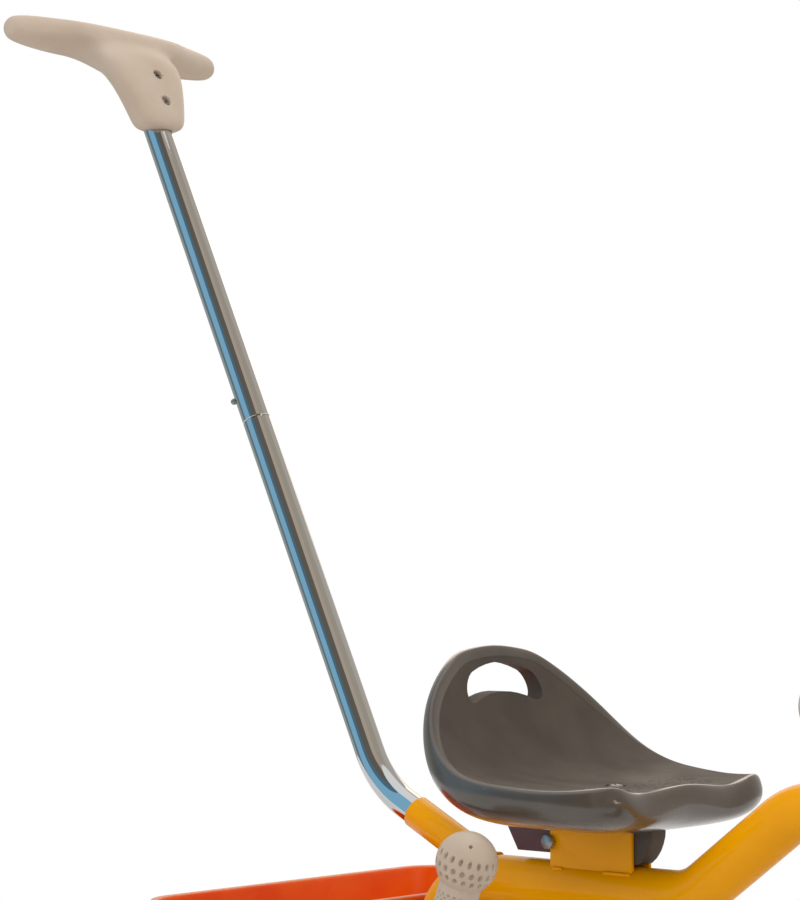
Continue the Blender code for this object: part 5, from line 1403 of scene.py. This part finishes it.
for name, sign in SIDES:
    pin = front_axle + crank_way * sign
    inner, outer = pin + left * 0.073 * sign, pin + left * 0.155 * sign
    half = Vector((0.031, 0, 0.0125))
    low = Vector((pin.x, min(inner.y, outer.y), pin.z)) - half
    high = Vector((pin.x, max(inner.y, outer.y), pin.z)) + half
    grooves = [rod(pin, outer + left * 0.02 * sign, 0.0063, 32)]
    for shift in (-0.020, -0.012, 0.012, 0.020):
        for side in (1, -1):
            place = Matrix.Translation((pin.x + shift, (low.y + high.y) / 2, pin.z + 0.0125 * side))
            grooves.append(bar(place, (0.0032, 0.066, 0.0044)))
    pedal = smoothed(carve(block(low, high, 0.006, 5), *grooves), 30)
    piece("foot_pedal_" + name, pedal, "maroon_plastic", name + "_pedal", "pedal_" + name)
    start = outer + left * 0.001 * sign
    dome = [(0.010, 0), (0.0100, 0.0035), *quarter_arc(0.0060, 0.0055, 0.0040, -10, 80, 8)]
    profile = [(0.0063, 0.0075), (0.0063, 0), *dome, (0, 0.0100), (0, 0.0075), (0.0063, 0.0075)]
    cap = (start, left * sign, profile, 48)
    turned_piece("end_cap_" + name, *cap, "orange_plastic", "driven_wheel", "pedal_cap_" + name)
print("crank points:", len(crank_line))

# %% [markdown]
# ## Bearings and tube ends
# The last small pieces are turned: the plastic bushes that the axles and the steerer run in, the
# spring nuts that keep the wheels on, and the short steel tubes that hold the bushes.

# %% Bushes, nuts and short tubes
head_low, head_high = head_centre - steer_way * 0.045, head_centre + steer_way * 0.045
tube_profile = [(0.017, 0), (0.0184, 0), (0.019, 0.0006), (0.019, 0.0894), (0.0184, 0.09)]
tube_profile += [(0.017, 0.09), (0.017, 0)]
head = turned("head", head_low, head_high, tube_profile, 72)
piece("steering_head", head, "yellow_enamel", "frame", "head_tube")
for name, sign in (("upper", 1), ("lower", -1)):
    way = steer_way * sign
    start = head_centre + way * 0.031
    profile = [(0.0113, 0), (0.0167, 0), (0.0167, 0.0143), (0.0200, 0.0143), (0.0200, 0.0149)]
    profile += [(0.0196, 0.0162), (0.0190, 0.0173), (0.0113, 0.0173), (0.0113, 0)]
    bush = (start, way, profile, 56)
    turned_piece("head_bearing_" + name, *bush, "maroon_plastic", "frame", "head_bush_" + name)
tube_half = half_track - 0.022 - 0.010 - 0.0006
start = rear_axle - left * tube_half
long = 2 * tube_half
tube_profile = [(0.012, 0), (0.0135, 0), (0.014, 0.0005), (0.014, long - 0.0005)]
tube_profile += [(0.0135, long), (0.012, long), (0.012, 0)]
axle_tube = (start, left, tube_profile, 56)
turned_piece("axle_tube_fine", *axle_tube, "yellow_enamel", "frame", "rear_axle_tube")
for name, sign in SIDES:
    way = left * sign
    start = rear_axle + way * (tube_half - 0.020)
    profile = [(0.0053, 0), (0.0117, 0), (0.0117, 0.0203), (0.0140, 0.0203), (0.0140, 0.0283)]
    profile += [(0.0134, 0.0297), (0.0120, 0.0303), (0.0053, 0.0303), (0.0053, 0)]
    bush = (start, way, profile, 48)
    turned_piece("axle_bearing_" + name, *bush, "maroon_plastic", "frame", "axle_bush_" + name)
    start = rear_axle + way * 0.2273
    profile = [(0.0053, 0), (0.009, 0), (0.009, 0.0018), (0.0078, 0.0034), (0.0056, 0.0048)]
    profile += [(0.0053, 0.0050), (0.0053, 0)]
    nut = (start, way, profile, 48)
    turned_piece("spring_nut_" + name, *nut, "zinc_plate", "frame", "axle_push_nut_" + name)
    start = front_axle + way * eye_y
    profile = [(0.0063, 0), (0.0088, 0), (0.0088, 0.0213), (0.0113, 0.0213), (0.0113, 0.0232)]
    profile += [(0.0107, 0.0238), (0.0063, 0.0238), (0.0063, 0)]
    bush = (start, way, profile, 48)
    turned_piece("crank_bearing_" + name, *bush, "maroon_plastic", "steering", "fork_bush_" + name)

# %% [markdown]
# ## The studio
# The object stands on a pale floor. The camera sees a white background, and so does glass or
# metal. Three soft boxes light it at a level at which a colour renders about as it is written.
# Polished metal shows its surroundings, so eight tall cards stand round the object, as they do in
# a product studio: charcoal, blue and cool grey ones on the left, warm grey ones on the right. A
# small bright window and a broad card behind give the plastic its highlights. The cards show only
# in reflections, and the soft boxes don't show in them at all.


# %% Floor, cards and lights
def glowing(name, colour, strength):
    made = bpy.data.materials.new(name)
    made.use_nodes = True
    tree = made.node_tree
    tree.nodes.remove(tree.nodes["Principled BSDF"])
    glow = add_node(tree, "Emission", {"Color": colour, "Strength": strength})
    tree.links.new(glow.outputs[0], tree.nodes["Material Output"].inputs["Surface"])
    return made


disc = bmesh.new()
bmesh.ops.create_circle(disc, cap_ends=True, segments=128, radius=1.85)
floor_mesh = mesh_from(disc, "studio_floor")
floor_finish, tree, shader, place = start_material("painted_floor")
away = add_node(tree, "VectorMath", {0: place}, operation="LENGTH").outputs["Value"]
speckle = blotches(tree, place, 6, 4)
colour = blend_colours(tree, speckle, linear("EDECEA"), linear("E9E8E6"))
tree.links.new(colour, shader.inputs["Base Color"])
shader.inputs["Roughness"].default_value = 0.6
white = add_node(tree, "Emission", {"Color": (1, 1, 1, 1), "Strength": 1.0}).outputs[0]
fade = add_node(tree, "MapRange", {"Value": away, "From Min": 0.9, "From Max": 1.8})
ground = add_node(tree, "MixShader", {0: fade.outputs["Result"], 1: shader.outputs[0], 2: white})
tree.links.new(ground.outputs[0], tree.nodes["Material Output"].inputs["Surface"])
floor_mesh.materials.append(floor_finish)
floor = bpy.data.objects.new("studio_floor", floor_mesh)
floor.location = (0, 0, -0.0006)
bpy.context.scene.collection.objects.link(floor)

camera_place = at(1.2481, -1.4006, 0.4711)
turn_left, tilt_up = math.radians(41.85), math.radians(3.28)
sight = Vector((-math.sin(turn_left), math.cos(turn_left), 0)) * math.cos(tilt_up)
sight.z = math.sin(tilt_up)


def card(name, first, last, colour, strength, low=-0.2, high=4.4, radius=2.2):
    """A curved upright card round the object. Angles run leftwards from the camera's side."""
    away = Vector((-sight.x, -sight.y, 0)).normalized()
    rows = []
    for height in (low, high):
        for degrees in np.linspace(first, last, 17):
            way = Matrix.Rotation(math.radians(-degrees), 3, "Z") @ away
            rows.append(way * radius + Vector((0, 0, height)))
    mesh = finish_mesh(name, rows, ring_faces(2, 17, closed=False))
    mesh.materials.append(glowing(name + "_paint", linear(colour), strength))
    obj = bpy.data.objects.new(name, mesh)
    bpy.context.scene.collection.objects.link(obj)
    obj.visible_camera = obj.visible_diffuse = obj.visible_shadow = False
    obj.visible_transmission = obj.visible_volume_scatter = False


card("card_pale_grey", -178, -100, "C8C0B8", 1.0)
card("card_warm_grey", -100, -36, "B8B0A0", 1.0)
card("card_sand", -36, 0, "C8B8A8", 1.0)
card("card_charcoal", 0, 45, "706C64", 1.0)
card("card_slate_blue", 45, 62, "588098", 1.0)
card("card_sky_blue", 62, 100, "90C8E8", 1.0)
card("card_blue_grey", 100, 118, "708890", 1.0)
card("card_cool_grey", 118, 178, "A8B0B0", 1.0)
card("card_window", -68, -52, "FFE9D2", 7.0, 0.75, 1.3, 2.1)
card("card_back", 160, 200, "FFEEDD", 1.8, 0.9, 3.0, 2.1)


def looking(place, way):
    """The matrix of a lamp or camera that looks along a direction."""
    return Matrix.Translation(place) @ way.to_track_quat("-Z", "Y").to_matrix().to_4x4()


def soft_box(name, place, aim, width, height, power):
    light = bpy.data.lights.new(name, "AREA")
    light.shape = "RECTANGLE"
    light.size, light.size_y, light.energy = width, height, power
    obj = bpy.data.objects.new(name, light)
    obj.matrix_world = looking(place, aim - place)
    obj.visible_glossy = False
    bpy.context.scene.collection.objects.link(obj)


heart = Vector((0, 0, 0.35))
soft_box("top_box", Vector((0.1, -0.3, 2.4)), heart, 1.8, 1.8, 10)
soft_box("left_box", Vector((-0.9, -2.0, 1.5)), heart, 1.2, 1.2, 5)
soft_box("right_box", Vector((2.0, 0.6, 1.3)), heart, 1.2, 1.4, 3)

world = bpy.data.worlds.new("studio_air")
bpy.context.scene.world = world
world.use_nodes = True
tree = world.node_tree
rays = add_node(tree, "LightPath").outputs
seen = rays["Is Camera Ray"]
for kind in ("Is Glossy Ray", "Is Transmission Ray"):
    seen = add_node(tree, "Math", {0: seen, 1: rays[kind]}, operation="MAXIMUM").outputs[0]
glow = {"Color": (1, 1, 1, 1), "Strength": between(tree, seen, 0.9, 1.0)}
feed(tree, tree.nodes["Background"], glow)
print("stage:", floor.name, "and", len(bpy.data.lights), "soft boxes")

# %% [markdown]
# ## The camera
# The photo was taken from the rider's front right, a little above the seat's height, with a long
# lens. The camera's place and lens were found by matching the ends of the tubes and the seat.

# %% Camera
lens = bpy.data.cameras.new("photo_camera")
lens.lens = 100.28
lens.sensor_width = 36
lens.clip_start = 0.02
camera = bpy.data.objects.new("photo_camera", lens)
camera.matrix_world = looking(camera_place, sight)
bpy.context.scene.collection.objects.link(camera)
bpy.context.scene.camera = camera
bpy.context.scene.view_settings.view_transform = "Standard"
print("camera height mm:", round(camera_place.z * 1000))

# %% [markdown]
# ## The last update
# The view layer is brought up to date.

# %% Update the view layer
bpy.context.view_layer.update()
